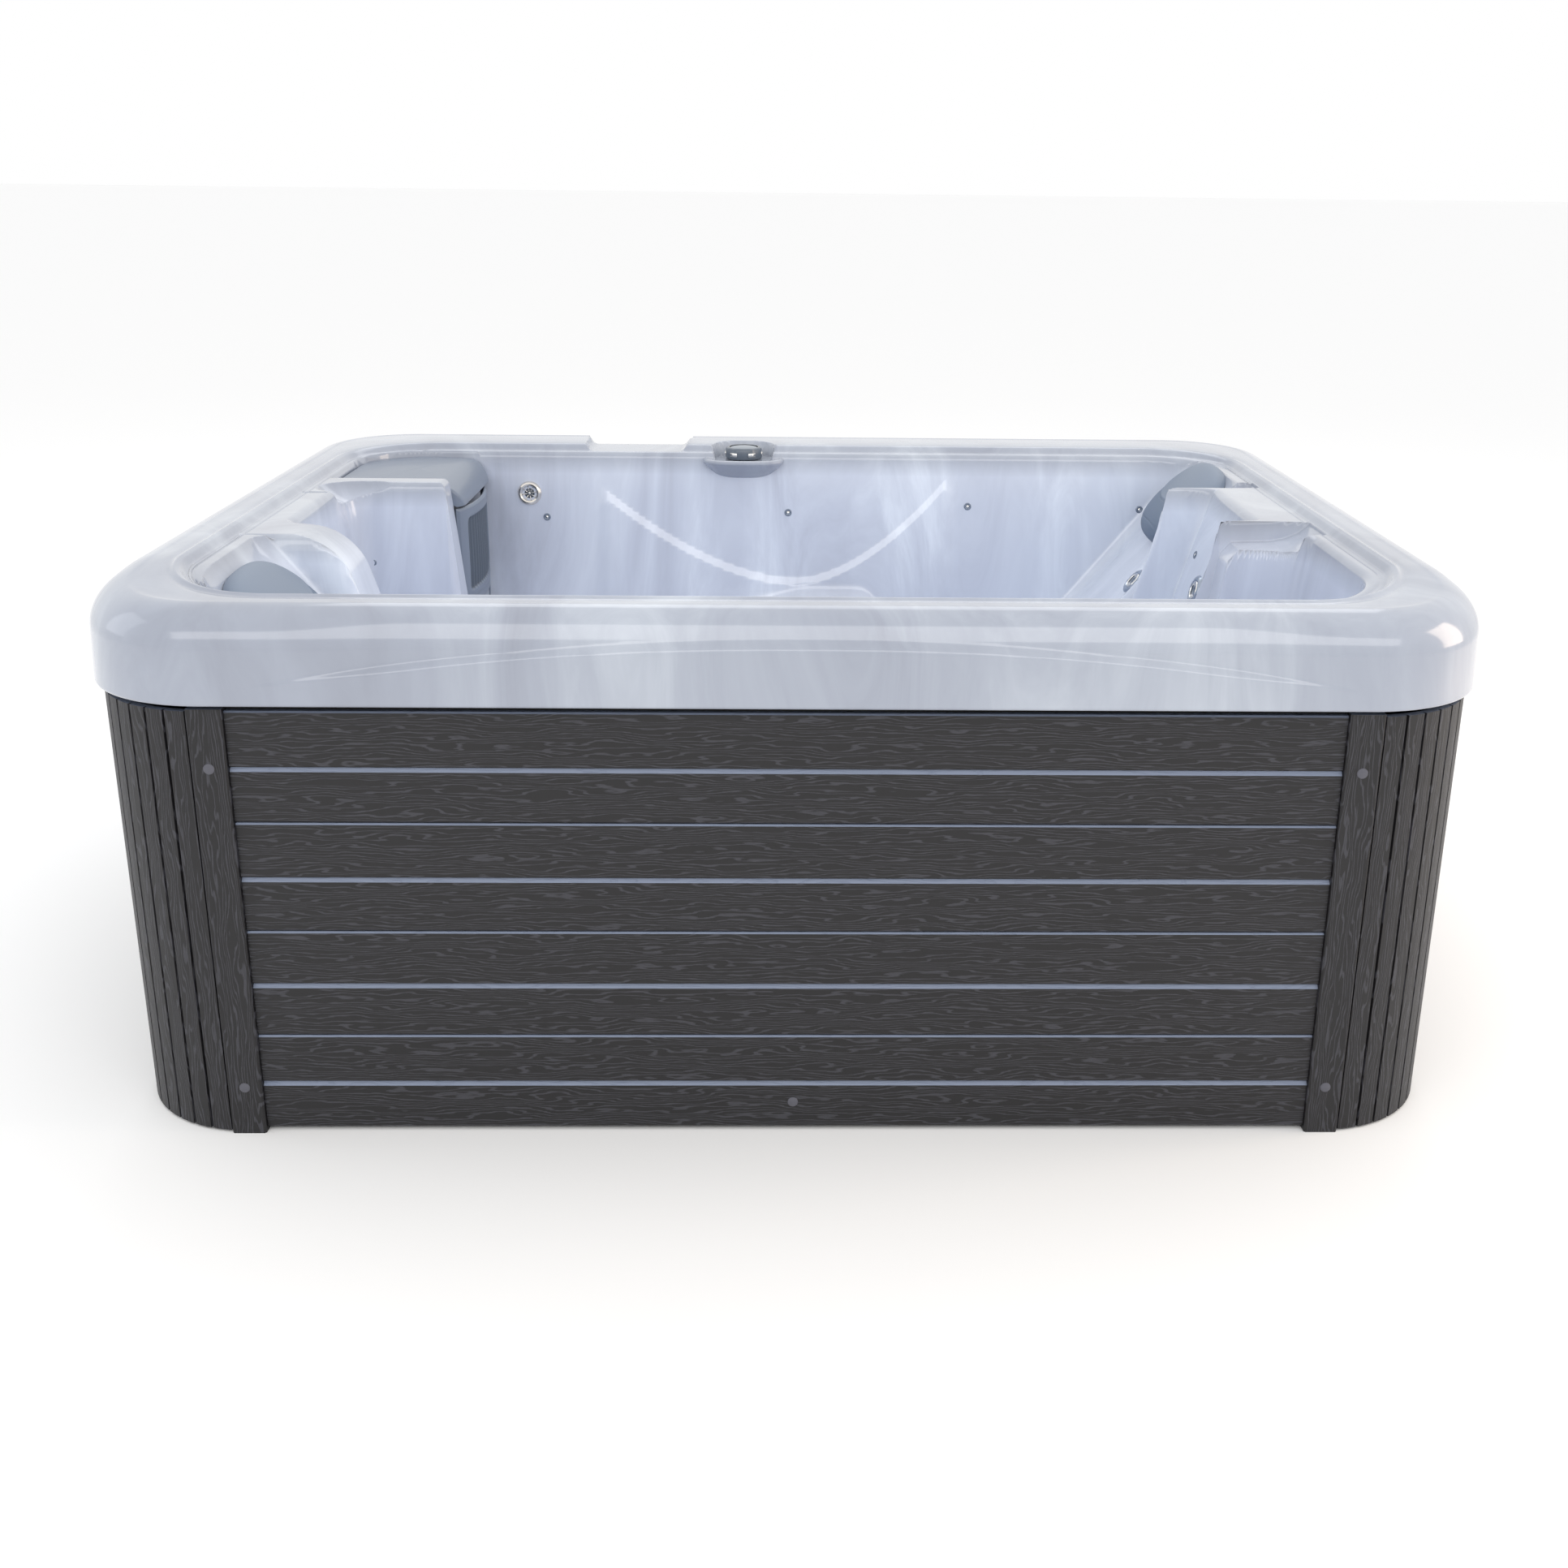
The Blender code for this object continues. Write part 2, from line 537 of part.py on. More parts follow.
def make_side(side, half_side, finishes):
    """Boards, two trim posts and the frame of one side of the cabinet."""
    place = side_map(side)
    post_middle = half_side - POST_FROM_CORNER
    reach = post_middle - POST_WIDTH / 2 - 0.0006
    for index in range(len(BOARD_JOINTS) - 1):
        section = board_section(BOARD_JOINTS[index], BOARD_JOINTS[index + 1])
        name = f"{side}_board_{index + 1}"
        add_object(name, extruded(name, section, -reach, reach, place), finishes["board"])
    for end, sign in (("a", -1), ("b", 1)):
        name = f"{side}_post_{end}"
        u0, u1 = sign * post_middle - POST_WIDTH / 2, sign * post_middle + POST_WIDTH / 2
        chamfer = 0.0025
        rows = [(u0, chamfer), (u0 + chamfer, 0.0), (u1 - chamfer, 0.0), (u1, chamfer)]
        rings = []
        for z in (0.0, CABINET_TOP + 0.004):
            face = [place(u, d - POST_PROUD, z) for u, d in rows]
            back = [place(u1, BOARD_THICK, z), place(u0, BOARD_THICK, z)]
            rings.append(face + back)
        add_object(name, facing_out(loft_mesh(name, rings)), finishes["board"])
    rail_in, rail_out = BOARD_THICK + 0.001, BOARD_THICK + 0.034
    low, high = 0.032, SKIRT_BOTTOM - 0.004
    section = [(rail_out, low), (rail_in, low), (rail_in, high), (rail_out, high)]
    name = f"{side}_frame"
    frame = add_object(name, extruded(name, section, -reach, reach, place), finishes["frame"])
    bays = round(2 * reach / STUD_SPACING)
    bay = (2 * reach - STUD_WIDTH) / bays
    for index in range(bays):
        u0 = -reach + STUD_WIDTH + index * bay
        window = [(rail_out + 0.02, low + STUD_WIDTH), (rail_in - 0.01, low + STUD_WIDTH),
                  (rail_in - 0.01, high - STUD_WIDTH), (rail_out + 0.02, high - STUD_WIDTH)]
        cut = extruded(f"{name}_bay", window, u0, u0 + bay - STUD_WIDTH, place)
        combine(frame, cutter(f"{name}_bay_{index}", cut), "DIFFERENCE")


def make_corner(name, sx, sy, finishes):
    """Curved corner panel of upright slats with grooves between them."""
    centre = (LENGTH / 2 - CABINET_INSET - CORNER_RADIUS, WIDTH / 2 - CABINET_INSET - CORNER_RADIUS)
    inner = CORNER_RADIUS - BOARD_THICK
    half_post = POST_WIDTH / 2 + 0.0006
    straight = CORNER_RADIUS + CABINET_INSET - POST_FROM_CORNER + half_post
    quarter = math.pi / 2
    start = math.asin(straight / inner) + 0.001
    slat = (quarter - 2 * start) / SLATS_PER_CORNER
    groove = 0.0045 / CORNER_RADIUS
    outline = []
    for index in range(SLATS_PER_CORNER):
        a0, a1 = start + index * slat, start + (index + 1) * slat
        first = a0 if index == 0 else a0 + groove / 2
        last = a1 if index == SLATS_PER_CORNER - 1 else a1 - groove / 2
        outline += [(CORNER_RADIUS, first), (CORNER_RADIUS, (first + last) / 2), (CORNER_RADIUS, last)]
        if index < SLATS_PER_CORNER - 1:
            outline += [(CORNER_RADIUS - 0.005, a1 - groove / 4), (CORNER_RADIUS - 0.005, a1 + groove / 4)]
    arc = [start + i * (quarter - 2 * start) / 12 for i in range(13)]
    outline += [(inner, angle) for angle in reversed(arc)]
    rings = []
    for z in (0.004, CABINET_TOP):
        rings.append([(sx * (centre[0] + r * math.cos(a)), sy * (centre[1] + r * math.sin(a)), z)
                      for r, a in outline])
    add_object(name, facing_out(loft_mesh(name, rings)), finishes["board"])


def make_cabinet(finishes):
    for side, half_side in (("front", LENGTH / 2), ("back", LENGTH / 2),
                            ("left", WIDTH / 2), ("right", WIDTH / 2)):
        make_side(side, half_side, finishes)
    for name, sx, sy in (("front_left", -1, -1), ("front_right", 1, -1), ("back_left", -1, 1),
                         ("back_right", 1, 1)):
        make_corner(f"{name}_corner", sx, sy, finishes)
    inset = CABINET_INSET + BOARD_THICK + 0.012
    pan = [level(rounded(-LENGTH / 2 + inset + d, LENGTH / 2 - inset - d, -WIDTH / 2 + inset + d,
                         WIDTH / 2 - inset - d, CORNER_RADIUS - 0.02 - d), z)
           for d, z in ((0.0, 0.0), (0.0, 0.022), (0.008, 0.030))]
    placed("base_pan", loft_mesh("base_pan", pan), finishes["base"])


# Equipment

def make_equipment(finishes):
    """Pump, heater and control box on the base pan under the right-hand backrest."""
    pump_x, pump_z = 0.80, 0.135
    motor = turned_mesh("pump_motor", [
        (0.055, 0.0), (0.075, 0.010), (0.078, 0.020), (0.078, 0.215), (0.060, 0.225), (0.060, 0.240)], 20)
    body = placed("pump_motor", motor, finishes["motor"], (pump_x, 0.34, pump_z), (0, 1, 0))
    foot = box_mesh("pump_foot", (pump_x - 0.06, 0.38, 0.031), (pump_x + 0.06, 0.54, 0.09))
    combine(body, cutter("pump_foot", foot), "UNION")
    wet = turned_mesh("pump_wet_end", [
        (0.028, -0.125), (0.028, -0.070), (0.080, -0.065), (0.090, -0.050), (0.090, -0.008),
        (0.080, -0.001)], 20)
    volute = placed("pump_wet_end", wet, finishes["motor"], (pump_x, 0.34, pump_z), (0, 1, 0))
    outlet = turned_mesh("pump_outlet", [(0.028, 0.0), (0.028, 0.150)], 16)
    combine(volute, cutter("pump_outlet", outlet, (pump_x + 0.05, 0.31, pump_z)), "UNION")
    heater = turned_mesh("heater_tube", [
        (0.025, -0.19), (0.040, -0.185), (0.040, -0.160), (0.030, -0.155), (0.030, 0.155),
        (0.040, 0.160), (0.040, 0.185), (0.025, 0.19)], 20)
    placed("heater_tube", heater, finishes["steel"], (0.89, -0.20, 0.115), (0, 1, 0), smooth=True)
    box = loft_mesh("control_box", [
        level(rounded(0.815, 0.955, -0.36, -0.04, 0.012, 3), z) for z in (0.19, 0.34)])
    placed("control_box", box, finishes["key"])


def main():
    for old in list(bpy.data.objects):
        bpy.data.objects.remove(old)
    finishes = make_finishes()
    backrest = (-1.0, 0.0, BACKREST_LEAN)
    column_lean = (0.83 - 0.721) / (LEDGE - 0.48)
    jet_a = (0.90 - (LEDGE - 0.621) * BACKREST_LEAN, 0.318, 0.621)
    jet_b = (0.83 - (LEDGE - 0.665) * column_lean, 0.060, 0.665)
    outlet_z = 0.748
    outlet = (-0.575, BATH_BACK - seat_wall(outlet_z), outlet_z)
    holes = [
        wall_fitting("backrest_jet", finishes, jet_a, backrest, JET_RADIUS, "jet"),
        wall_fitting("column_jet", finishes, jet_b, (-1.0, 0.0, column_lean), JET_RADIUS, "jet"),
        wall_fitting("return", finishes, outlet, (0.0, -1.0, WALL_DRAFT), RETURN_RADIUS, "chrome"),
        make_suction(finishes, (0.09, 0.455, KNEE_LEVEL)),
        make_diverter(finishes),
    ]
    make_shell(finishes, holes)
    make_filter(finishes)
    make_headrest("front_headrest", finishes, 1, -0.475, 0.130)
    make_headrest("back_headrest", finishes, -1, 0.412, 0.106)
    make_control(finishes)
    make_cabinet(finishes)
    make_equipment(finishes)


main()
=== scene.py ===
# %% [markdown]
# # A rectangular hot tub with two loungers
# The tub is a moulded acrylic shell that hangs on a wooden frame, clad with embossed boards.
# The engineering model gives every fitting its place. This lesson gives the shell its soft
# rolling form, the boards their grain, and every fitting its finish.

import math

import bpy
import numpy as np
from mathutils import Matrix


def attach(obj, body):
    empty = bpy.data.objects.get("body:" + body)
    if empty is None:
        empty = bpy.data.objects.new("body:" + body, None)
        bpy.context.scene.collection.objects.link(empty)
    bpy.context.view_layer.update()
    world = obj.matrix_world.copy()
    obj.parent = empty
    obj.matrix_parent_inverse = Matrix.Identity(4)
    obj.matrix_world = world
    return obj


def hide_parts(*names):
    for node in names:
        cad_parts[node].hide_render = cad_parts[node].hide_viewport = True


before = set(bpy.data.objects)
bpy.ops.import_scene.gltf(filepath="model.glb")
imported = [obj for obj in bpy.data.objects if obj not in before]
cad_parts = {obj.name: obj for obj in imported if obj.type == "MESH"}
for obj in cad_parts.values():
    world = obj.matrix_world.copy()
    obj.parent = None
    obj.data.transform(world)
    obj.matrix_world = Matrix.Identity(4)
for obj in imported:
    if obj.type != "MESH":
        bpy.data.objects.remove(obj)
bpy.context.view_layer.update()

# %% [markdown]
# ## One way to make every new surface
# Each new piece is a grid of points: a function of two parameters, worked out as whole arrays.
# A helper turns such a grid into a mesh and can give each vertex the surface's own normal, so
# that two pieces cut from one surface meet without a visible line.

# %% Grid to mesh
def ring_normals(rings):
    """Normal at each point of closed rings: the step to the next ring crossed with the step along the ring."""
    along = np.roll(rings, -1, 1) - np.roll(rings, 1, 1)
    normal = np.cross(np.gradient(rings, axis=0), along)
    size = np.linalg.norm(normal, axis=2, keepdims=True)
    return normal / np.maximum(size, 1e-12)


def grid_faces(rows, columns, close_columns=False):
    """Quads between neighbouring grid points, in the order that makes them face as ring_normals points."""
    r = np.arange(rows - 1)
    c = np.arange(columns if close_columns else columns - 1)
    r, c = [side.ravel() for side in np.meshgrid(r, c, indexing="ij")]
    below, beside = r + 1, (c + 1) % columns
    return np.stack([r * columns + c, below * columns + c, below * columns + beside, r * columns + beside], 1)


def make_piece(name, points, faces, material, body, normals=None, sharp=None):
    """Mesh object from arrays of points and quads (or triangles), riding on a body."""
    mesh = bpy.data.meshes.new(name)
    corners = faces.shape[1]
    mesh.vertices.add(len(points))
    mesh.vertices.foreach_set("co", points.astype(np.float32).ravel())
    mesh.loops.add(faces.size)
    mesh.loops.foreach_set("vertex_index", faces.astype(np.int32).ravel())
    mesh.polygons.add(len(faces))
    mesh.polygons.foreach_set("loop_start", np.arange(0, faces.size, corners, dtype=np.int32))
    mesh.update(calc_edges=True)
    mesh.validate()
    mesh.shade_smooth()
    if normals is not None:
        mesh.normals_split_custom_set_from_vertices(normals.astype(np.float32))
    if sharp:
        mesh.set_sharp_from_angle(angle=math.radians(sharp))
    mesh.materials.append(material)
    made = bpy.data.objects.new(name, mesh)
    bpy.context.scene.collection.objects.link(made)
    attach(made, body)
    return made


# %% [markdown]
# ## Finishes
# Acrylic sheet for tubs is marbled: soft pale veins that are drawn out where the hot sheet was stretched down
# the walls. Noise that is itself bent by noise gives such veins. The veins are one node group, which two
# finishes share: the rim keeps nearly its tone all the way down its skirt, while the bath's sheet is painted
# much paler below the ledge, as painted light for the light that its walls gather.

# %% Small helpers for materials
def new_material(name, colour, roughness, metallic=0.0, coat=0.0):
    """A material with one Principled shader and a thin clear coat of the given weight."""
    made = bpy.data.materials.new(name)
    made.use_nodes = True
    shader = made.node_tree.nodes["Principled BSDF"]
    shader.inputs["Base Color"].default_value = (*colour, 1)
    shader.inputs["Roughness"].default_value = roughness
    shader.inputs["Metallic"].default_value = metallic
    shader.inputs["Coat Weight"].default_value = coat
    shader.inputs["Coat Roughness"].default_value = 0.06
    return made


def wire(tree, pairs):
    """Links each output socket to the input socket that stands beside it."""
    for source, target in pairs:
        tree.links.new(source, target)


def add_node(tree, kind, **values):
    """New node: a value goes to the input of its name or, if there is none, to the node's property."""
    made = tree.nodes.new(kind)
    for key, value in values.items():
        if key in made.inputs:
            made.inputs[key].default_value = value
        else:
            setattr(made, key, value)
    return made


def group_with(name, inputs, outputs):
    """Empty shader node group with named sockets: returns the tree, its input and output nodes."""
    tree = bpy.data.node_groups.new(name, "ShaderNodeTree")
    for label, kind, value in inputs:
        socket = tree.interface.new_socket(label, in_out="INPUT", socket_type=kind)
        if value is not None:
            socket.default_value = value
    for label, kind in outputs:
        tree.interface.new_socket(label, in_out="OUTPUT", socket_type=kind)
    return tree, tree.nodes.new("NodeGroupInput"), tree.nodes.new("NodeGroupOutput")


# %% Marbled acrylic
VEIN_STEPS = ((0.30, (0.315, 0.340, 0.410)), (0.45, (0.400, 0.435, 0.520)),
              (0.54, (0.455, 0.495, 0.580)), (0.66, (0.590, 0.640, 0.720)))
VEIN_STRETCH, VEIN_TURN = (1.6, 1.3, 0.30), (0.12, 0.30, 0.45)
BEND, CLOUD_SHARE = 0.9, 0.35
TONE_BELOW, TONE_ABOVE = 0.79, 0.832
# The bath's tone below the ledge is painted light: much paler walls, for the light that they gather.
DECK_TONE, SKIRT_TONE, BATH_PAINTED_LIGHT = 0.84, 0.80, 1.34


def make_veins():
    """Veins: noise on bent coordinates, through a ramp from grey streak over base to pale vein."""
    tree, given, out = group_with(
        "acrylic_veins",
        [("Vector", "NodeSocketVector", None), ("Scale", "NodeSocketFloat", 2.4)],
        [("Color", "NodeSocketColor"), ("Value", "NodeSocketFloat")])
    bend = add_node(tree, "ShaderNodeTexNoise", Scale=1.3, Detail=3.0, Roughness=0.5)
    push = add_node(tree, "ShaderNodeVectorMath", operation="MULTIPLY_ADD")
    push.inputs[1].default_value = (BEND, BEND, BEND)
    veins = add_node(tree, "ShaderNodeTexNoise", Detail=6.0, Roughness=0.62, Distortion=0.9)
    wide = add_node(tree, "ShaderNodeTexNoise", Scale=0.9, Detail=2.0)
    ramp = add_node(tree, "ShaderNodeValToRGB")
    while len(ramp.color_ramp.elements) < len(VEIN_STEPS):
        ramp.color_ramp.elements.new(0.5)
    for element, (place, colour) in zip(ramp.color_ramp.elements, VEIN_STEPS):
        element.position = place
        element.color = (*colour, 1)
    mixed = add_node(tree, "ShaderNodeMath", operation="MULTIPLY_ADD")
    mixed.inputs[1].default_value = CLOUD_SHARE
    shrink = add_node(tree, "ShaderNodeMath", operation="MULTIPLY")
    shrink.inputs[1].default_value = 1 - CLOUD_SHARE
    wire(tree, [
        (given.outputs["Vector"], bend.inputs["Vector"]), (bend.outputs["Color"], push.inputs[0]),
        (given.outputs["Vector"], push.inputs[2]), (push.outputs[0], veins.inputs["Vector"]),
        (given.outputs["Scale"], veins.inputs["Scale"]), (given.outputs["Vector"], wide.inputs["Vector"]),
        (veins.outputs["Fac"], shrink.inputs[0]), (wide.outputs["Fac"], mixed.inputs[0]),
        (shrink.outputs[0], mixed.inputs[2]), (mixed.outputs[0], ramp.inputs["Fac"]),
        (ramp.outputs["Color"], out.inputs["Color"]), (mixed.outputs[0], out.inputs["Value"])])
    return tree


def marbled(name, veins, tone, deep):
    """Glossy acrylic whose veins run down the walls; its tone changes to `deep` just below the ledge, and in
    the bath's finish that change is painted light on the walls.
    """
    made = new_material(name, (0.56, 0.60, 0.68), 0.16, coat=0.6)
    tree = made.node_tree
    coords = add_node(tree, "ShaderNodeTexCoord")
    mapping = add_node(tree, "ShaderNodeMapping", Scale=VEIN_STRETCH, Rotation=VEIN_TURN)
    group = add_node(tree, "ShaderNodeGroup")
    group.node_tree = veins
    shader = tree.nodes["Principled BSDF"]
    split = add_node(tree, "ShaderNodeSeparateXYZ")
    below = add_node(tree, "ShaderNodeMapRange")
    for key, value in (("From Min", TONE_BELOW), ("From Max", TONE_ABOVE), ("To Min", deep), ("To Max", tone)):
        below.inputs[key].default_value = value
    toned = add_node(tree, "ShaderNodeHueSaturation")
    wire(tree, [(coords.outputs["Object"], mapping.inputs["Vector"]),
                (mapping.outputs[0], group.inputs["Vector"]),
                (coords.outputs["Object"], split.inputs[0]), (split.outputs["Z"], below.inputs["Value"]),
                (below.outputs[0], toned.inputs["Value"]), (group.outputs["Color"], toned.inputs["Color"]),
                (toned.outputs["Color"], shader.inputs["Base Color"])])
    return made


veins = make_veins()
acrylic = marbled("acrylic", veins, DECK_TONE, SKIRT_TONE)
# painted light: the bath's walls below the ledge are painted much paler than the rim
bath_painted_light_acrylic = marbled("bath_painted_light_acrylic", veins, DECK_TONE, BATH_PAINTED_LIGHT)
print("acrylic finishes ready:", acrylic.name, bath_painted_light_acrylic.name)

# %% [markdown]
# ## Where the shell's walls run
# The same walls, floors and slopes as in the engineering model. Each hollow is described by its
# depth below the ledge as seen from its walls: a drafted wall falls one metre for each `draft`
# metres that it leans in. Crest and cove are the rounded edge above and the rounded foot below.

# %% Levels and outlines
LENGTH, WIDTH, HEIGHT, LEDGE = 2.10, 1.60, 0.85, 0.838
RIM_X, RIM_FRONT, RIM_BACK, RIM_ROUND = 0.925, -0.68, 0.60, 0.17
EDGE_ROUND, BULLNOSE, SKIRT_BOTTOM = 0.216, 0.066, 0.697
BATH_FRONT, BATH_BACK, DRAFT, LEAN = -0.665, 0.585, 0.12, 0.87
KNEE, FOOTWELL_FLOOR, MIDDLE_FLOOR, ARM_FLOOR, FILTER_FLOOR = 0.52, 0.13, 0.46, 0.48, 0.47
BACKREST_TOP, BACKREST_FOOT = -0.90, -0.47
BIG_CORNER, SOFT_FROM = 0.155, 0.07
KNOB_X, KNOB_Y, KNOB_SEAT = -0.108, 0.615, 0.822


def crest(s, radius, slope):
    """Height across a rounded edge: level for s < 0, falling with the slope for s > 0, an arc between."""
    angle = np.arctan(slope)
    reach = radius * np.tan(angle / 2)
    arc = np.sqrt(np.maximum(radius ** 2 - (s + reach) ** 2, 0)) - radius
    return np.where(s < -reach, 0.0, np.where(s < reach * np.cos(angle), arc, -slope * s))


def cove(s, radius, slope):
    """Height across a rounded foot: the crest turned upside down."""
    return -crest(-s, radius, slope)


def step_up(value, low, high):
    """Smooth step from 0 at low to 1 at high."""
    t = np.clip((value - low) / (high - low), 0, 1)
    return t * t * (3 - 2 * t)


def rounded_min(first, second, radius):
    """The smaller of two depths, with the corner between their walls rounded in plan."""
    a, b = np.maximum(radius - first, 0), np.maximum(radius - second, 0)
    return np.where((a > 0) & (b > 0), radius - np.hypot(a, b), np.minimum(first, second))


def hollow(depth, draft, floor, edge=0.012, foot=0.03):
    """Surface of one hollow: rounded edge at the ledge, drafted wall, rounded foot, floor."""
    slope = 1 / draft
    s = depth * draft
    wall = LEDGE - depth
    return LEDGE + crest(s, edge, slope) + floor + cove(s - (LEDGE - floor) * draft, foot, slope) - wall


def joined(first, second, soft):
    """The lower of two hollows, with the ridge between them rounded, but only well below the ledge."""
    below = LEDGE - np.maximum(first, second)
    k = soft * step_up(below, 0.0, SOFT_FROM) + 1e-9
    blend = np.maximum(k - np.abs(first - second), 0) / k
    return np.minimum(first, second) - blend * blend * k / 4


# %% [markdown]
# ## The bather's side of the shell
# Two loungers lie head to foot, with arm space between them, a footwell in the middle and a
# filter compartment at the back left. Their side views are smoothed polylines.

# %% Side views of the loungers
TABLE_STEP, SEAT_BLUR = 0.002, 0.07


def smoothed(profile, blur):
    """Polyline as a dense table, averaged over a window of the given width, but kept at its ends."""
    xs, zs = np.array(profile).T
    dense = np.linspace(xs[0], xs[-1], int((xs[-1] - xs[0]) / TABLE_STEP))
    table = np.interp(dense, xs, zs)
    window = np.hanning(int(blur / TABLE_STEP) | 1)
    padded = np.pad(table, len(window) // 2, mode="edge")
    soft = np.convolve(padded, window / window.sum(), "valid")
    hold = step_up(np.minimum(dense - dense[0], dense[-1] - dense), 0, blur)
    return dense, table * (1 - hold) + soft * hold


backrest = [(BACKREST_TOP, LEDGE), (BACKREST_FOOT, LEDGE - (BACKREST_FOOT - BACKREST_TOP) / LEAN)]
seat = [(-0.43, 0.325), (-0.36, 0.310), (-0.29, 0.325), (-0.19, 0.490), (-0.16, KNEE), (-0.02, KNEE),
        (0.10, 0.49), (0.35, 0.44), (0.52, 0.42), (0.60, 0.44), (0.645, 0.52), (0.655, 0.838)]
lounger = smoothed(backrest + seat, SEAT_BLUR)
print("lounger: lowest at", round(float(lounger[1].min()), 3), "m")


# %% Walls, the band on the back wall, and the lips
RELIEF_X, RELIEF_Z, RELIEF_PROUD, RELIEF_EDGE = 0.007, 0.568, 0.0417, 0.018
LIP_X = (0.60, 0.690, 0.700, 0.757, 0.768, 0.786, 0.858, 0.882, 0.906, 0.930)
LIP_Z = (0.40, 0.42, 0.46, 0.708, 0.780, 0.801, 0.803, 0.808, 0.818, LEDGE)
LIP_SLOPE, LIP_CREST_X = 5.0, 0.80


def between(value, low, high, low_draft, high_draft):
    """Depth below the ledge between two facing walls: the smaller distance divided by draft."""
    return np.minimum((value - low) / low_draft, (high - value) / high_draft)


def box_depth(x, y, sides, drafts, corner):
    """Depth below the ledge as the walls of a rounded rectangle give it."""
    x0, x1, y0, y1 = sides
    left, right, front, back = drafts
    across, along = between(x, x0, x1, left, right), between(y, y0, y1, front, back)
    return rounded_min(across, along, corner / np.mean(drafts))


def relief(x, wall):
    """Band of the back wall that stands proud below a hanging curve, which is wider on its left side."""
    left = x < RELIEF_X
    t = (x - RELIEF_X) / np.where(left, 0.437, 0.348)
    rise = np.where(left, 0.207, 0.240)
    curve = RELIEF_Z + rise * np.abs(t) ** 1.75
    proud = RELIEF_PROUD * step_up(1.02 - np.abs(t), 0.0, 0.10)
    return proud * np.clip((curve - wall) / (RELIEF_EDGE + RELIEF_PROUD), 0, 1)


def lip(x, y, low, high, back):
    """Lip beside the right-hand column: one profile from left to right, between two side walls."""
    profile = np.interp(x + back * (x < LIP_CREST_X), LIP_X, LIP_Z)
    return np.where(x < LIP_X[0], LEDGE, profile) + LIP_SLOPE * np.maximum(np.maximum(low - y, y - high), 0)


# %% The height of the inside at any place
BROAD_RIDGE, CRISP_RIDGE = 0.17, 0.09


def inside_height(x, y):
    """Lowest of all hollows at (x, y), with soft ridges, and never outside the outer walls."""
    outer_back = (BATH_BACK - y) / DRAFT
    outer_back = outer_back - relief(x, LEDGE - outer_back)
    outer_front = (y - BATH_FRONT) / DRAFT
    corner = BIG_CORNER / DRAFT

    def lying(turned):
        """One lounger: outer wall at the side of the tub, inner wall that widens below the shoulders."""
        along = -x if turned else x
        inner_head, inner_seat = (0.245, 0.095) if turned else (-0.30, -0.15)
        widen = step_up(along, -0.70, -0.55)
        inner = inner_head + (inner_seat - inner_head) * widen
        outer = outer_back if turned else outer_front
        side = (y - inner) if turned else (inner - y)
        head = (along + 0.913) / DRAFT + 0.02
        depth = np.minimum(rounded_min(outer, head, corner), side / DRAFT)
        return hollow(depth, DRAFT, np.interp(along, *lounger), 0.016, 0.045)

    broad = [
        # the low middle, and the footwell sunk into it
        hollow(box_depth(x, y, (-0.66, 0.66, -0.20, 0.17), (0.106, 0.106, 0.185, 0.185), 0.06),
               0.15, MIDDLE_FLOOR, 0.02),
        hollow(box_depth(x, y, (-0.43, 0.43, -0.21, 0.17), (0.12, 0.12, 0.10, 0.10), 0.05) - 0.30,
               DRAFT, FOOTWELL_FLOOR, 0.02),
        # arm spaces to the left and right of it
        hollow(box_depth(x, y, (-0.87, -0.20, -0.20, 0.195), (0.126, 0.112, 0.084, 0.112), 0.05),
               0.11, ARM_FLOOR, 0.014),
        hollow(box_depth(x, y, (0.20, 0.83, -0.12, 0.20), (0.11, 0.304, 0.056, 0.084), 0.03),
               0.20, ARM_FLOOR, 0.012),
        # foot ends of the front lounger and of the back one
        hollow(rounded_min(between(x, 0.35, 0.895, 0.08, DRAFT), np.minimum(outer_front, (-0.190 - y) / 0.06),
                           corner), DRAFT, MIDDLE_FLOOR, 0.014),
        hollow(np.minimum(between(x, -0.680, -0.22, 0.10, DRAFT), np.minimum((y - 0.095) / DRAFT, outer_back)),
               DRAFT, MIDDLE_FLOOR, 0.016, 0.045),
        # filter compartment
        hollow(np.minimum(rounded_min((x + 0.917) / DRAFT, outer_back, 0.135 / DRAFT),
                          np.minimum((-0.640 - x) / 0.03, (y - 0.2435) / 0.03)),
               DRAFT, FILTER_FLOOR, 0.004, 0.01),
        lying(False), lying(True),
    ]
    crisp = [
        # the ear beside the front headrest falls away towards the seat in a wide round
        hollow(np.minimum(between(x, -0.758, -0.30, 0.30, 0.08), between(y, -0.37, -0.13, 0.06, 0.06)),
               0.30, MIDDLE_FLOOR, 0.11),
        # lips on both sides of the right-hand column
        lip(x, y, 0.212, 0.262, 0.026), lip(x, y, -0.235, -0.132, 0.0),
        # scoop between the left shelf and the divider
        LEDGE - 0.040 * (1 - ((x + 0.83) / 0.085) ** 2 - ((y - 0.15) / 0.060) ** 2),
    ]
    height = np.full_like(x, LEDGE)
    for surfaces, soft in ((broad, BROAD_RIDGE), (crisp, CRISP_RIDGE)):
        for surface in surfaces:
            height = joined(height, np.minimum(surface, LEDGE), soft)
    shell_wall = hollow(np.minimum(outer_back, outer_front), DRAFT, 0.0, 0.016)
    return np.maximum(height, np.minimum(shell_wall, LEDGE))


# %% [markdown]
# ## The rim
# Round the opening the sheet steps up onto a broad deck, with a bead along the step, and rolls
# over a wide bullnose into the skirt. At the back a notch for the controls is cut across it, and
# a bracket for the diverter knob stands forward. On the front skirt a shallow arch is pressed in.

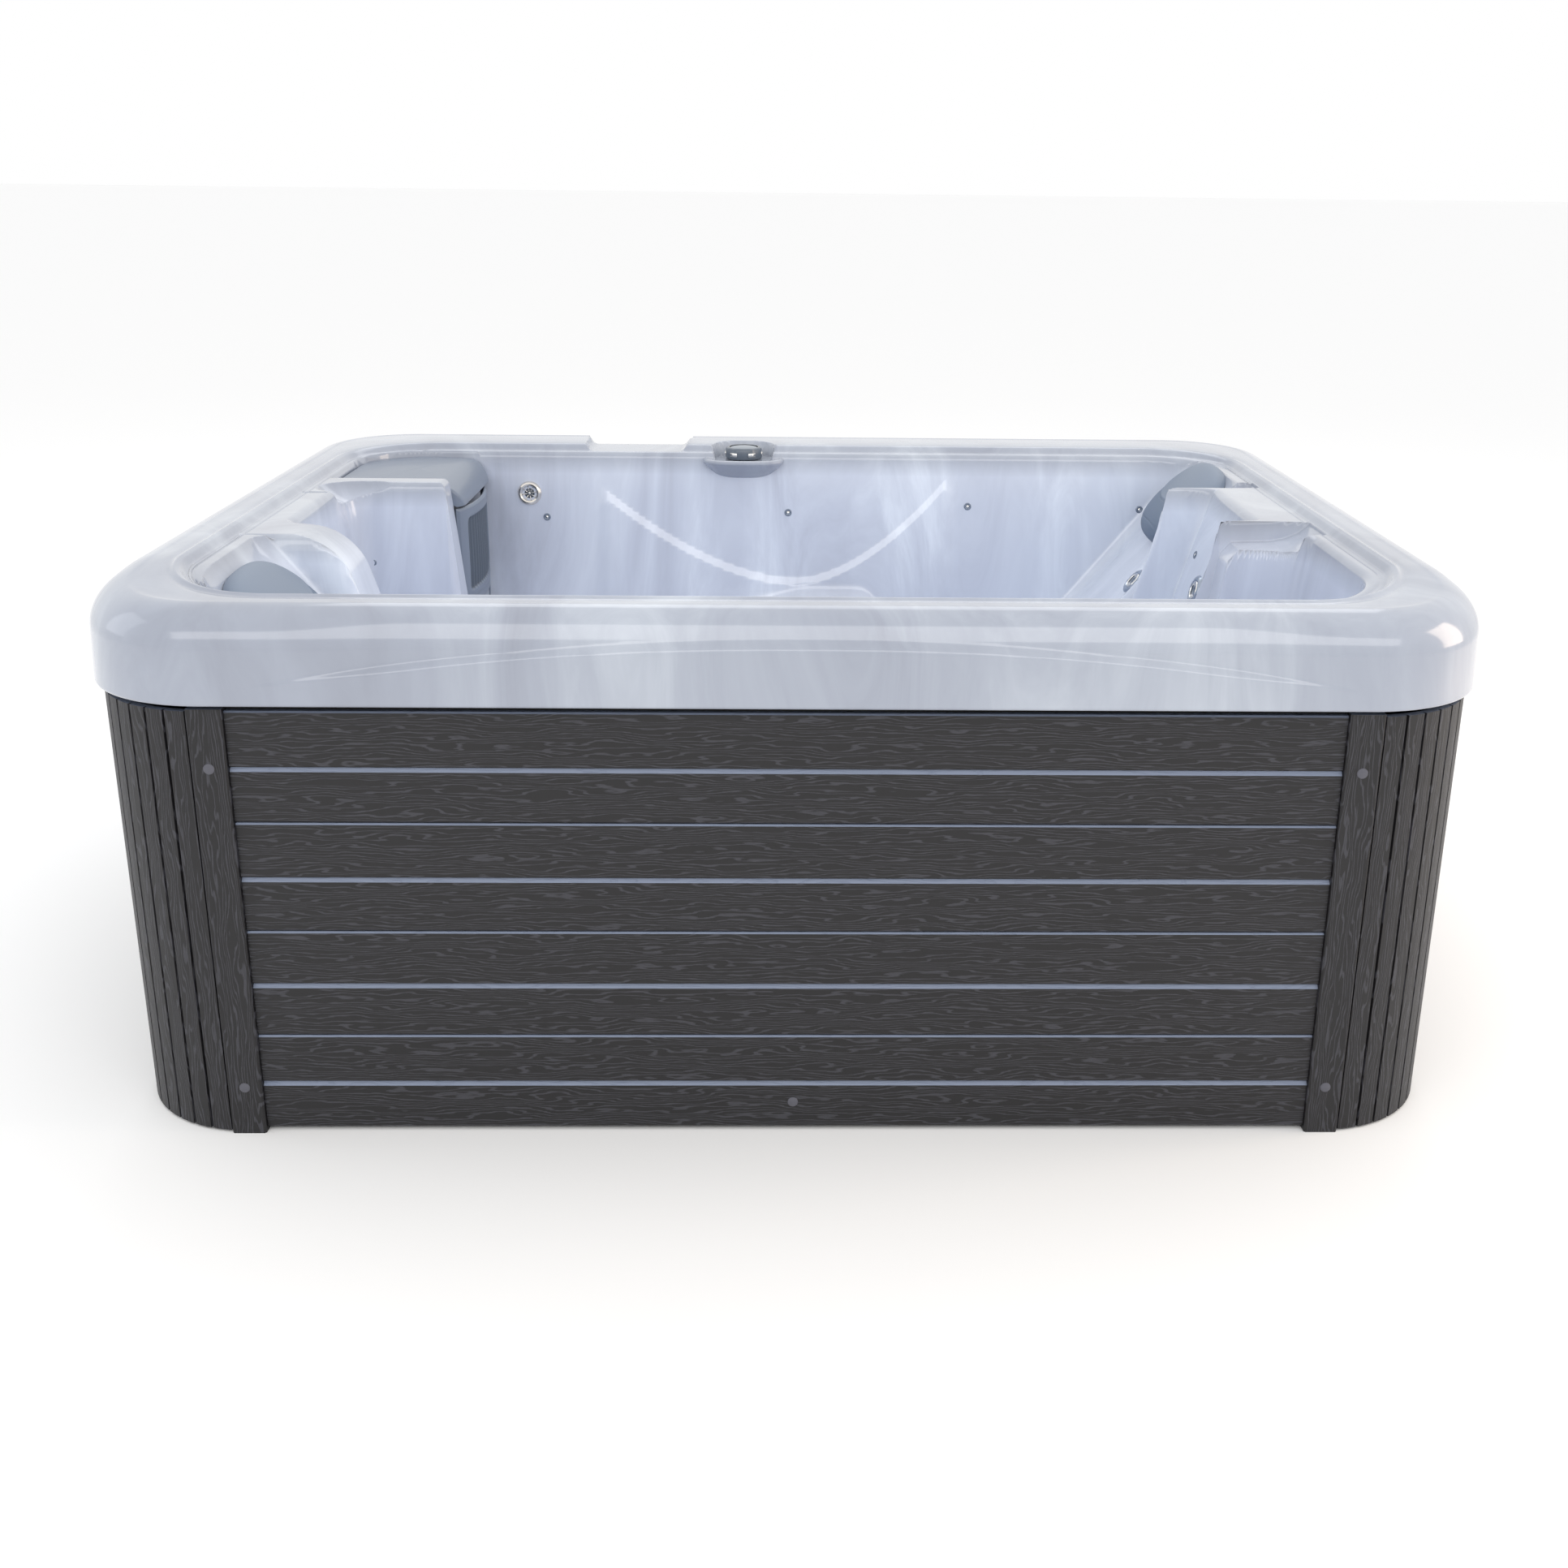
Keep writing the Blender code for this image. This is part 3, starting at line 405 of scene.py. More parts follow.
# %% Deck, notch and knob's seat
FRONT_DROP = 0.014
NOTCH_X0, NOTCH_X1, NOTCH_CREST, NOTCH_END_SLOPE = -0.450, -0.235, 0.705, 3.3
BACK_HALF = 0.5
SEAT_HALF, SEAT_STRAIGHT, SEAT_SUNK = 0.048, 0.012, 0.006


def settled(y, z):
    """The front of the rim stands lower than its sides: the drop grows towards the front and the top."""
    return z - FRONT_DROP * step_up(z, 0.71, HEIGHT) * step_up(-y, 0.50, 0.72)


def outline_distance(x, y, x0, x1, y0, y1, radius):
    """Distance outside (positive) or inside (negative) a rounded rectangle."""
    px = np.abs(x - (x0 + x1) / 2) - (x1 - x0) / 2 + radius
    py = np.abs(y - (y0 + y1) / 2) - (y1 - y0) / 2 + radius
    return np.hypot(np.maximum(px, 0), np.maximum(py, 0)) + np.minimum(np.maximum(px, py), 0) - radius


def notch_height(x, y):
    """Floor of the notch: level to its crest, then falling outwards; its ends rise in an arc."""
    floor = LEDGE - 0.0005 + crest(y - NOTCH_CREST, 0.03, math.tan(math.radians(30)))
    outside = np.maximum(NOTCH_X0 - x, x - NOTCH_X1)
    rise = np.where(outside > 0, NOTCH_END_SLOPE * outside, 0.0)
    rounding = 0.006 * np.exp(-(outside / 0.006) ** 2)
    return np.where(y > BACK_HALF, floor + rise + rounding, 1.0)


def deck_height(x, y):
    """Height of all that shows from above: inside, ledge step with its bead, crowned deck, notch and seat."""
    out = outline_distance(x, y, -RIM_X, RIM_X, RIM_FRONT, RIM_BACK, RIM_ROUND)
    edge = -outline_distance(x, y, -LENGTH / 2, LENGTH / 2, -WIDTH / 2, WIDTH / 2, EDGE_ROUND)
    inner = inside_height(x, y)
    step = (HEIGHT - LEDGE - 0.001) * step_up(out, 0.002, 0.013)
    bead = 0.0022 * np.exp(-((out - 0.018) / 0.0035) ** 2) - 0.0016 * np.exp(-((out - 0.028) / 0.005) ** 2)
    line = -0.0010 * np.exp(-((out + 0.007) / 0.003) ** 2)
    crown = 0.001 * step_up(edge, 0.05, 0.12) * step_up(out, 0.03, 0.06)
    rolled = BULLNOSE - np.sqrt(np.maximum(BULLNOSE ** 2 - np.maximum(BULLNOSE - edge, 0) ** 2, 0))
    lined = inner + line * step_up(inner, LEDGE - 0.002, LEDGE)
    height = np.where(out > 0, LEDGE + step + bead + crown - rolled, lined)
    height = np.minimum(height, notch_height(x, y))
    aside = np.hypot(np.maximum(np.abs(x - KNOB_X) - SEAT_STRAIGHT, 0), np.maximum(y - KNOB_Y, 0))
    sunk = np.where(y > BACK_HALF, KNOB_SEAT - SEAT_SUNK + 4.0 * np.maximum(aside - SEAT_HALF, 0), 1.0)
    return settled(y, np.minimum(height, sunk))


# %% Grid lines, closer together where walls are steep
def graded(start, stop, coarse, zones):
    """Values from start to stop whose spacing is coarse, but finer within each zone."""
    fine = np.linspace(start, stop, 4000)
    density = np.full_like(fine, 1 / coarse)
    for low, high, spacing in zones:
        inside = step_up(fine, low - 0.006, low) * (1 - step_up(fine, high, high + 0.006))
        density += (1 / spacing - 1 / coarse) * inside
    total = np.concatenate([[0], np.cumsum((density[1:] + density[:-1]) / 2 * np.diff(fine))])
    return np.interp(np.linspace(0, total[-1], int(total[-1]) + 1), total, fine)


def to_rounded(x, y):
    """Carries a rectangular grid onto the rounded opening: corner squares become quarter discs."""
    cx, cy = (RIM_X - RIM_ROUND), ((RIM_BACK - RIM_FRONT) / 2 - RIM_ROUND)
    middle = (RIM_BACK + RIM_FRONT) / 2
    a = np.maximum(np.abs(x) - cx, 0)
    b = np.maximum(np.abs(y - middle) - cy, 0)
    scale = np.where((a > 0) & (b > 0), np.maximum(a, b) / np.maximum(np.hypot(a, b), 1e-12), 1.0)
    return (np.sign(x) * (np.minimum(np.abs(x), cx) + a * scale),
            middle + np.sign(y - middle) * (np.minimum(np.abs(y - middle), cy) + b * scale))


coarse = 0.0045
x_lines = graded(-RIM_X, RIM_X, coarse, [
    (-RIM_X, -0.80, 0.0025), (-0.70, -0.625, 0.0013), (0.68, RIM_X, 0.0026)])
y_lines = graded(RIM_FRONT, RIM_BACK, coarse, [
    (-0.67, -0.61, 0.0022), (-0.33, -0.247, 0.0028), (-0.245, -0.10, 0.0018), (0.14, 0.27, 0.0016),
    (0.50, 0.595, 0.0011)])
square_x, square_y = np.meshgrid(x_lines, y_lines, indexing="ij")
inside_x, inside_y = to_rounded(square_x, square_y)
inside = np.stack([inside_x, inside_y, deck_height(inside_x, inside_y)], 2)
print("inside grid:", inside.shape[:2])


# %% Normals of the inside from the height itself
def height_normals(x, y, step=0.0004):
    """Normal of z = height(x, y): minus the two slopes, and one."""
    dx = (deck_height(x + step, y) - deck_height(x - step, y)) / (2 * step)
    dy = (deck_height(x, y + step) - deck_height(x, y - step)) / (2 * step)
    normal = np.stack([-dx, -dy, np.ones_like(dx)], 2)
    return normal / np.linalg.norm(normal, axis=2, keepdims=True)


def cut_in_bands(name, points, normals, bands, finish, close_columns=False):
    """Pieces of one grid, cut along its rows, each with the whole grid's normals."""
    edges = np.linspace(0, points.shape[0] - 1, bands + 1).astype(int)
    made = []
    for index, (low, high) in enumerate(zip(edges[:-1], edges[1:]), 1):
        part, tilt = points[low:high + 1], normals[low:high + 1]
        faces = grid_faces(*part.shape[:2], close_columns=close_columns)
        made.append(make_piece(f"{name}_{index}", part.reshape(-1, 3), faces, finish, "tub",
                               tilt.reshape(-1, 3)))
    return made


# the bath's finish paints light onto its walls below the ledge
inside_pieces = cut_in_bands("bath", inside, height_normals(inside_x, inside_y), 4, bath_painted_light_acrylic)
print("bath pieces:", [len(piece.data.polygons) for piece in inside_pieces])

# %% Where the rim starts and ends
last_x, last_y = len(x_lines) - 1, len(y_lines) - 1
loop = np.concatenate([
    np.stack([np.arange(last_x), np.zeros(last_x, int)], 1),
    np.stack([np.full(last_y, last_x), np.arange(last_y)], 1),
    np.stack([np.arange(last_x, 0, -1), np.full(last_x, last_y)], 1),
    np.stack([np.zeros(last_y, int), np.arange(last_y, 0, -1)], 1)])
start = inside[loop[:, 0], loop[:, 1], :2]


def outer_place(place):
    """Point on the outer outline that belongs to a point on the opening's outline."""
    x, y = place.T
    middle = (RIM_BACK + RIM_FRONT) / 2
    cx, cy = RIM_X - RIM_ROUND, (RIM_BACK - RIM_FRONT) / 2 - RIM_ROUND
    big_x, big_y = LENGTH / 2 - EDGE_ROUND, WIDTH / 2 - EDGE_ROUND
    a, b = x - np.clip(x, -cx, cx), (y - middle) - np.clip(y - middle, -cy, cy)
    reach = np.maximum(np.hypot(a, b), 1e-9)
    return np.stack([np.clip(x, -cx, cx) * big_x / cx + a / reach * EDGE_ROUND,
                     np.clip(y - middle, -cy, cy) * big_y / cy + b / reach * EDGE_ROUND], 1)


end = outer_place(start)


def inset_place(inset):
    """The outer outline drawn in by an inset, point by point."""
    shrink = np.array([(LENGTH / 2 - EDGE_ROUND), (WIDTH / 2 - EDGE_ROUND)])
    core = np.clip(end, -shrink, shrink)
    away = end - core
    return core + away * (1 - inset / np.linalg.norm(away, axis=1, keepdims=True))


print("points round the opening:", len(loop))

# %% The rim as a profile carried round the opening
ARCH_X, ARCH_HALF, ARCH_TOP, ARCH_FALL, ARCH_DEPTH = 0.03, 0.80, 0.797, 0.070, 0.0085
SKIRT_LEAN, LAST_FLAT_ROW = 0.003, 34


def arch(x, z):
    """How far the front skirt is pressed in: above an arch, deepest in the middle, nothing at its ends."""
    t = (x - ARCH_X) / ARCH_HALF
    curve = ARCH_TOP - ARCH_FALL * np.abs(t) ** 2.2
    share = step_up(1 - np.abs(t), 0.0, 0.30)
    height = 0.005 + 0.009 * share
    return ARCH_DEPTH * share * step_up(z, curve - height, curve) * (1 - step_up(z, 0.800, LEDGE))


def outer_row(inset, z):
    """Row on the bullnose or skirt: as high as z, but never above the notch's floor."""
    place = inset_place(inset)
    return np.column_stack([place, settled(place[:, 1], np.minimum(z, notch_height(*place.T)))])


rows = []
inner_edge = inset_place(BULLNOSE)
for t in np.concatenate([np.linspace(0, 0.32, 22), np.linspace(0.36, 1, 11)]):
    place = start + (inner_edge - start) * t
    rows.append(np.column_stack([place, deck_height(*place.T)]))
for angle in np.linspace(0, math.pi / 2, 30)[1:]:
    rows.append(outer_row(BULLNOSE * (1 - math.sin(angle)) + SKIRT_LEAN * math.sin(angle),
                          HEIGHT - BULLNOSE * (1 - math.cos(angle))))
for z in np.linspace(HEIGHT - BULLNOSE, SKIRT_BOTTOM + 0.004, 60)[1:]:
    rows.append(outer_row(SKIRT_LEAN * (z - SKIRT_BOTTOM) / (HEIGHT - BULLNOSE - SKIRT_BOTTOM), z))
# the hem: a small round turned in under the skirt, and its inner face
for inset, z in ((0.0012, SKIRT_BOTTOM + 0.001), (0.004, SKIRT_BOTTOM), (0.0075, SKIRT_BOTTOM + 0.001),
                 (0.008, SKIRT_BOTTOM + 0.006), (0.008, SKIRT_BOTTOM + 0.030)):
    rows.append(np.column_stack([inset_place(inset), np.full(len(start), z)]))
rim = np.stack(rows)
pressed = (rim[:, :, 1] < -0.70) & (np.arange(len(rim))[:, None] > LAST_FLAT_ROW)
rim[:, :, 1] += np.where(pressed, arch(rim[:, :, 0], rim[:, :, 2]), 0)
cut_in_bands("rim", rim, ring_normals(rim), 4, acrylic, close_columns=True)
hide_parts("shell")
print("rim grid:", rim.shape[:2])

# %% [markdown]
# ## The knob's bracket
# The diverter knob stands on a small shelf that grows out of the back wall below it and ends in
# a thin lip. Its outline widens as it rises, which a height over the floor plan can't show, so
# it is its own surface: one outline, scaled from foot to lip and down into the knob's seat.

# %% Bracket
BRACKET_POWER, BRACKET_BACK = 0.62, 0.75


def bracket_surface(steps=96):
    """Rings of a squared-off oval; half width, front and height run from the foot over the lip to the seat."""
    profile = np.array([
        (0.020, 0.612, 0.765), (0.045, 0.590, 0.778), (0.065, 0.566, 0.792), (0.078, 0.549, 0.8045),
        (0.0850, 0.538, 0.8135), (0.0880, 0.5335, 0.8170), (0.0895, 0.5310, 0.8205), (0.0890, 0.5312, 0.8240),
        (0.0870, 0.5330, 0.8268), (0.0835, 0.5370, 0.8278), (0.0780, 0.5430, 0.8270), (0.0700, 0.5520, 0.8238),
        (0.0620, 0.5600, 0.8218), (0.0400, 0.5800, 0.8215), (0.0001, 0.6149, 0.8215)])
    dense = np.linspace(0, len(profile) - 1, 90)
    half, front, height = [np.interp(dense, np.arange(len(profile)), column)[:, None] for column in profile.T]
    angle = np.linspace(0, 2 * np.pi, steps, endpoint=False)[None, :]
    c, s = np.cos(angle), np.sin(angle)
    x = KNOB_X + half * np.sign(c) * np.abs(c) ** BRACKET_POWER
    reach = np.where(s < 0, KNOB_Y - front, half * BRACKET_BACK)
    y = KNOB_Y + reach * np.sign(s) * np.abs(s) ** BRACKET_POWER
    return np.stack([x, y, np.broadcast_to(height, x.shape)], 2)


shelf = bracket_surface()
shelf_faces = grid_faces(*shelf.shape[:2], close_columns=True)[:, ::-1]
make_piece("knob_bracket", shelf.reshape(-1, 3), shelf_faces, acrylic, "tub",
           -ring_normals(shelf).reshape(-1, 3))
print("bracket rings:", len(shelf))

# %% [markdown]
# ## Turned parts
# Jets, caps, bezels and the knob are all turned: a profile of radius and height carried round
# an axis. The helper returns the grid, and places it on a point of the shell with its axis
# along the wall's normal.

# %% Turned surfaces
def frame_on(axis):
    """Three directions square to each other, the last along the axis."""
    w = np.array(axis, float) / np.linalg.norm(axis)
    u = np.cross(w, (0.0, 0.0, 1.0)) if abs(w[2]) < 0.95 else np.array([1.0, 0.0, 0.0])
    u /= np.linalg.norm(u)
    return np.stack([u, np.cross(w, u), w])


def turned(profile, place, axis, steps=48, wave=0.0, count=8):
    """Profile (radius, height) carried round an axis; wave ripples the radius count times round."""
    profile = np.array(profile, float)
    angle = np.linspace(0, 2 * np.pi, steps, endpoint=False)[None, :]
    radius = profile[:, :1] * (1 + wave * np.cos(count * angle))
    local = np.stack([radius * np.cos(angle), radius * np.sin(angle),
                      np.broadcast_to(profile[:, 1:], radius.shape)], 2)
    return local @ frame_on(axis) + np.array(place, float)


def turned_piece(name, profile, place, axis, material, body, steps=48, wave=0.0, count=8, sharp=30):
    """Turned surface as a piece; edges sharper than the angle `sharp` stay crisp."""
    grid = turned(profile, place, axis, steps, wave, count)
    faces = grid_faces(*grid.shape[:2], close_columns=True)[:, ::-1]
    return make_piece(name, grid.reshape(-1, 3), faces, material, body, sharp=sharp)


chrome = new_material("chrome", (0.80, 0.79, 0.77), 0.10, 1.0)
bezel_metal = new_material("bezel_metal", (0.36, 0.41, 0.49), 0.16, 0.9)
warm_chrome = new_material("warm_chrome", (0.80, 0.76, 0.70), 0.16, 1.0)
jet_grey = new_material("jet_grey", (0.16, 0.20, 0.27), 0.25, 0.2, 0.4)
dark_plastic = new_material("dark_plastic", (0.045, 0.060, 0.085), 0.30, coat=0.3)
cap_grey = new_material("cap_grey", (0.085, 0.085, 0.105), 0.42)

# %% [markdown]
# ## Jets
# Each massage jet is a bright bezel and a bright ring round a grey nozzle, which all turn
# together. The pin jets are small eyes pressed into the wall. Screw caps close the holes of the
# board screws.

# %% Places on the walls
COLUMN_TOP, COLUMN_FOOT = 0.83, 0.721
column_lean = (COLUMN_TOP - COLUMN_FOOT) / (LEDGE - ARM_FLOOR)


def on_backrest(y, z):
    """Point on the back lounger's backrest."""
    return (-BACKREST_TOP - (LEDGE - z) * LEAN, y, z)


def on_column(y, z):
    """Point on the right-hand column."""
    return (COLUMN_TOP - (LEDGE - z) * column_lean, y, z)


def on_back_wall(x, z):
    """Point on the back wall, beside the raised band."""
    return (x, BATH_BACK - (LEDGE - z) * DRAFT, z)


print("column leans", round(math.degrees(math.atan(column_lean)), 1), "degrees")

# %% Massage jets
JET_BEZEL = [(0.0145, -0.020), (0.0165, -0.001), (0.0180, 0.0030), (0.0215, 0.0048),
             (0.0262, 0.0042), (0.0290, 0.0022), (0.0300, 0.0003), (0.0300, -0.002)]
JET_NOZZLE = [(0.0002, -0.010), (0.0040, -0.010), (0.0048, 0.0010), (0.0068, 0.0030),
              (0.0092, 0.0020), (0.0100, -0.008), (0.0150, -0.009)]
JET_RING = [(0.0148, -0.004), (0.0150, 0.0040), (0.0166, 0.0052), (0.0180, 0.0036)]
jets = (("backrest_jet", on_backrest(0.318, 0.621), (-1, 0, LEAN)),
        ("column_jet", on_column(0.060, 0.665), (-1, 0, column_lean)))
for name, place, axis in jets:
    bezel = turned_piece(f"{name}_bezel", JET_BEZEL, place, axis, bezel_metal, name, 64)
    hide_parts(f"{name}_face")
    turned_piece(f"{name}_nozzle", JET_NOZZLE, place, axis, jet_grey, name)
    turned_piece(f"{name}_ring", JET_RING, place, axis, chrome, name)
print("massage jets:", len(jets))

# %% The return
outlet = on_back_wall(-0.575, 0.748)
outlet_axis = (0, -1, DRAFT)
eye = turned_piece("return_bezel", [(0.0150, -0.006), (0.0155, 0.0010), (0.0170, 0.0052), (0.0200, 0.0068),
                                    (0.0232, 0.0052), (0.0254, 0.0018), (0.0260, 0.0003), (0.0260, -0.002)],
                   outlet, outlet_axis, warm_chrome, "return_eye", 64)
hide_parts("return_face")
turned_piece("return_insert", [(0.0002, 0.0012), (0.0040, 0.0012), (0.0155, -0.0008), (0.0158, -0.004)],
             outlet, outlet_axis, dark_plastic, "return_eye")
directions = frame_on(outlet_axis)


def flat_bars(name, place, axes, bars, thick, material, body):
    """Small rectangular bars lying on a plane: each (centre u, centre v, half length, half width, angle)."""
    corner = np.array([(-1, -1), (1, -1), (1, 1), (-1, 1)], float)
    points, faces = [], []
    side = np.array([(3, 2, 1, 0), (4, 5, 6, 7), (0, 1, 5, 4), (1, 2, 6, 5), (2, 3, 7, 6), (3, 0, 4, 7)])
    for index, (u, v, long, wide, angle) in enumerate(bars):
        c, s = math.cos(angle), math.sin(angle)
        flat = corner * (long, wide) @ np.array([(c, s), (-s, c)]) + (u, v)
        for height in (0.0, thick):
            points.append(np.column_stack([flat, np.full(4, height)]) @ axes + np.array(place))
        faces.append(side + 8 * index)
    return make_piece(name, np.concatenate(points), np.concatenate(faces), material, body)


SPOKES, SPOKE_RADIUS, SPOKE_HALF, SPOKE_WIDTH, SPOKE_SUNK = 8, 0.0100, 0.0052, 0.0007, -0.0005
spokes = []
for index in range(SPOKES):
    angle = index * 2 * math.pi / SPOKES + 0.2
    spokes.append((SPOKE_RADIUS * math.cos(angle), SPOKE_RADIUS * math.sin(angle),
                   SPOKE_HALF, SPOKE_WIDTH, angle))
flat_bars("return_spokes", np.array(outlet) + directions[2] * SPOKE_SUNK, directions, spokes, 0.0022,
          chrome, "return_eye")
turned_piece("return_hub", [(0.0002, 0.0034), (0.0026, 0.0032), (0.0034, 0.0022), (0.0036, 0.0009)],
             outlet, outlet_axis, chrome, "return_eye", 24)
print("return spokes:", len(spokes))

# %% Pin jets
PIN_RING = [(0.0036, 0.0005), (0.0040, 0.0016), (0.0058, 0.0022), (0.0078, 0.0012), (0.0082, -0.001)]
PIN_EYE = [(0.0001, 0.0024), (0.0022, 0.0020), (0.0034, 0.0010), (0.0040, -0.001)]
SHELF_DRAFT = 0.112
pin_places = [(on_back_wall(-0.538, 0.697), outlet_axis), (on_back_wall(-0.010, 0.710), outlet_axis),
              (on_back_wall(0.385, 0.726), outlet_axis), (on_back_wall(0.765, 0.722), outlet_axis)]
pin_places.append((on_column(0.145, 0.716), (-1, 0, column_lean)))
# two low on each backrest, 0.55 m down its slope
pin_x, pin_z = -BACKREST_TOP - 0.55 * 0.656, LEDGE - 0.55 * 0.755
for y in (0.25, 0.45):
    pin_places.append(((pin_x, y, pin_z), (-1, 0, LEAN)))
    pin_places.append(((-pin_x, -y - 0.10, pin_z), (1, 0, LEAN)))
pin_places.append(((-0.826, 0.1955 - (LEDGE - 0.682) * SHELF_DRAFT, 0.682), (0, -1, SHELF_DRAFT)))
for index, (place, axis) in enumerate(pin_places, 1):
    turned_piece(f"pin_jet_{index}_ring", PIN_RING, place, axis, jet_grey, "tub", 32)
    turned_piece(f"pin_jet_{index}_eye", PIN_EYE, place, axis, chrome, "tub", 24)
print("pin jets:", len(pin_places))

# %% Screw caps on the posts and on the lowest boards
CAP = [(0.0001, 0.0022), (0.0050, 0.0019), (0.0076, 0.0008), (0.0085, -0.0004), (0.0085, -0.002)]
CABINET_INSET, POST_INSET, POST_PROUD = 0.020, 0.215, 0.008
face_y, face_x = WIDTH / 2 - CABINET_INSET, LENGTH / 2 - CABINET_INSET
post_x, post_y = LENGTH / 2 - POST_INSET, WIDTH / 2 - POST_INSET
caps = []
for sign in (-1, 1):
    for height in (0.080, 0.600):
        caps += [((half * post_x, sign * (face_y + POST_PROUD), height), (0, sign, 0)) for half in (-1, 1)]
        caps += [((sign * (face_x + POST_PROUD), half * post_y, height), (sign, 0, 0)) for half in (-1, 1)]
    caps.append(((0.006, sign * face_y, 0.050), (0, sign, 0)))
    caps.append(((sign * face_x, 0.0, 0.050), (sign, 0, 0)))
for index, (place, axis) in enumerate(caps, 1):
    turned_piece(f"screw_cap_{index}", CAP, place, axis, cap_grey, "tub", 24)
print("screw caps:", len(caps))

# %% [markdown]
# ## Diverter knob
# A low dark drum with a paler crowned top and small bright windows let into its side.

# %% Knob
knob_dark = new_material("knob_dark", (0.10, 0.125, 0.16), 0.32, coat=0.3)
knob_pale = new_material("knob_pale", (0.20, 0.24, 0.29), 0.28, coat=0.3)
KNOB_WINDOWS, WINDOW_RADIUS, WINDOW_HEIGHT = 6, 0.0385, 0.0115
knob_foot = (KNOB_X, KNOB_Y, KNOB_SEAT)
drum = turned_piece("knob_drum", [(0.0310, 0.0250), (0.0345, 0.0252), (0.0375, 0.0235), (0.0392, 0.0200),
                                  (0.0400, 0.0120), (0.0398, 0.0040), (0.0385, 0.0010), (0.0300, 0.0008)],
                    knob_foot, (0, 0, 1), knob_dark, "knob", 96, 0.008, 12)
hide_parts("diverter_knob")
turned_piece("knob_top", [(0.0001, 0.0262), (0.0120, 0.0260), (0.0240, 0.0250), (0.0295, 0.0236),
                          (0.0312, 0.0215)], knob_foot, (0, 0, 1), knob_pale, "knob", 64)
for index in range(KNOB_WINDOWS):
    angle = math.radians(-90 + 28 + 360 / KNOB_WINDOWS * index)
    out = np.array([math.cos(angle), math.sin(angle), 0.0])
    axes = np.stack([np.array([-out[1], out[0], 0.0]), np.array([0.0, 0.0, 1.0]), out])
    middle = np.array(knob_foot) + out * WINDOW_RADIUS + np.array([0, 0, WINDOW_HEIGHT])
    flat_bars(f"knob_window_{index + 1}", middle, axes, [(0, 0, 0.0085, 0.0042, 0.0)], 0.0022, chrome, "knob")
print("knob windows:", KNOB_WINDOWS)

# %% [markdown]
# ## Headrests
# Soft moulded pads: a crowned oval that lies on the sloping backrest. Its upper part is a paler
# skin that hangs like a tongue over the darker lower part, with a fine seam between them. The
# surface is a dome over a squared-off oval, with the seam sunk into it.

# %% Headrests
pale_skin = new_material("pale_skin", (0.200, 0.245, 0.320), 0.50)
dark_skin = new_material("dark_skin", (0.130, 0.175, 0.250), 0.50)
PAD_ACROSS, PAD_DOWN, PAD_CROWN, PAD_OVAL = 0.142, 0.102, 0.047, 2.3
SEAM_DEEP, HEM_DEEP, PAD_GAP = 0.0022, 0.0014, 0.0016


def headrest(name, side, middle_y, down_slope, node, body, rows=90, columns=160):
    """Dome: height falls from crown to rim as one minus the distance to a power; seams are grooves in it."""
    t = np.linspace(0, 1, rows)[:, None]
    angle = np.linspace(0, 2 * np.pi, columns, endpoint=False)[None, :]
    c, s = np.cos(angle), np.sin(angle)
    radial = np.sin(t * np.pi / 2) ** 0.9
    squared = (np.abs(c) ** PAD_OVAL + np.abs(s) ** PAD_OVAL) ** (-1 / PAD_OVAL)
    across = PAD_ACROSS * radial * squared * c
    down = PAD_DOWN * radial * squared * s
    lift = np.cos(t * np.pi / 2) ** 0.55
    crown = PAD_CROWN * (1 + 0.16 * np.sin(down / 0.104 * 1.4)) - 0.010 * (across / 0.148) ** 2
    tongue = down - (-0.062 + 0.085 * (1 - (across / 0.150) ** 2))
    hem = down - 0.074 - 0.010 * (across / 0.148) ** 2
    groove = SEAM_DEEP * np.exp(-(tongue / 0.0016) ** 2) + HEM_DEEP * np.exp(-(hem / 0.0014) ** 2)
    step = SEAM_DEEP * (1 - step_up(tongue, -0.003, 0.0015))
    height = PAD_GAP + (crown + step) * lift - groove * np.minimum(lift * 3, 1)
    slope = np.array([LEAN, 0, -1]) / math.hypot(LEAN, 1)
    out = np.array([1, 0, LEAN]) / math.hypot(LEAN, 1)
    centre = np.array([BACKREST_TOP, 0, LEDGE]) + slope * down_slope
    place = centre + down[..., None] * slope + np.broadcast_to(height, down.shape)[..., None] * out
    points = np.stack([side * place[..., 0], middle_y + side * across, place[..., 2]], 2)
    faces = grid_faces(rows, columns, close_columns=True)
    made = make_piece(name, points.reshape(-1, 3), faces, pale_skin, body)
    made.data.materials.append(dark_skin)
    dark = (tongue.ravel()[faces].mean(1) > 0).astype(np.int32)
    made.data.polygons.foreach_set("material_index", dark)
    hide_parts(node)
    return made


pads = [headrest("front_pad", 1, -0.475, 0.134, "front_headrest", "front_pillow"),
        headrest("back_pad", -1, 0.412, 0.104, "back_headrest", "back_pillow")]
print("headrests:", [len(pad.data.polygons) for pad in pads])

# %% [markdown]
# ## Filter lid and front
# The lid's top runs level and rolls over into the front, which bulges gently towards the
# bather. In the front are a window of upright louvres and, below it, the weir's slot. Louvres
# are ribs in the same surface, since they are moulded in one piece with it.

# %% Filter lid
satin = new_material("satin_filter", (0.165, 0.200, 0.265), 0.34, coat=0.15)
window_dark = new_material("filter_window", (0.10, 0.125, 0.165), 0.40)
LID_X0, LID_X1, LID_Y0, LID_Y1, LID_TOP = -0.909, -0.657, 0.249, 0.575, 0.830
LID_FOOT, LID_MIDDLE, LID_CROWN, LID_EDGE = 0.7785, (-0.775, 0.410), 0.0035, 0.006
LID_SPREAD = 0.16


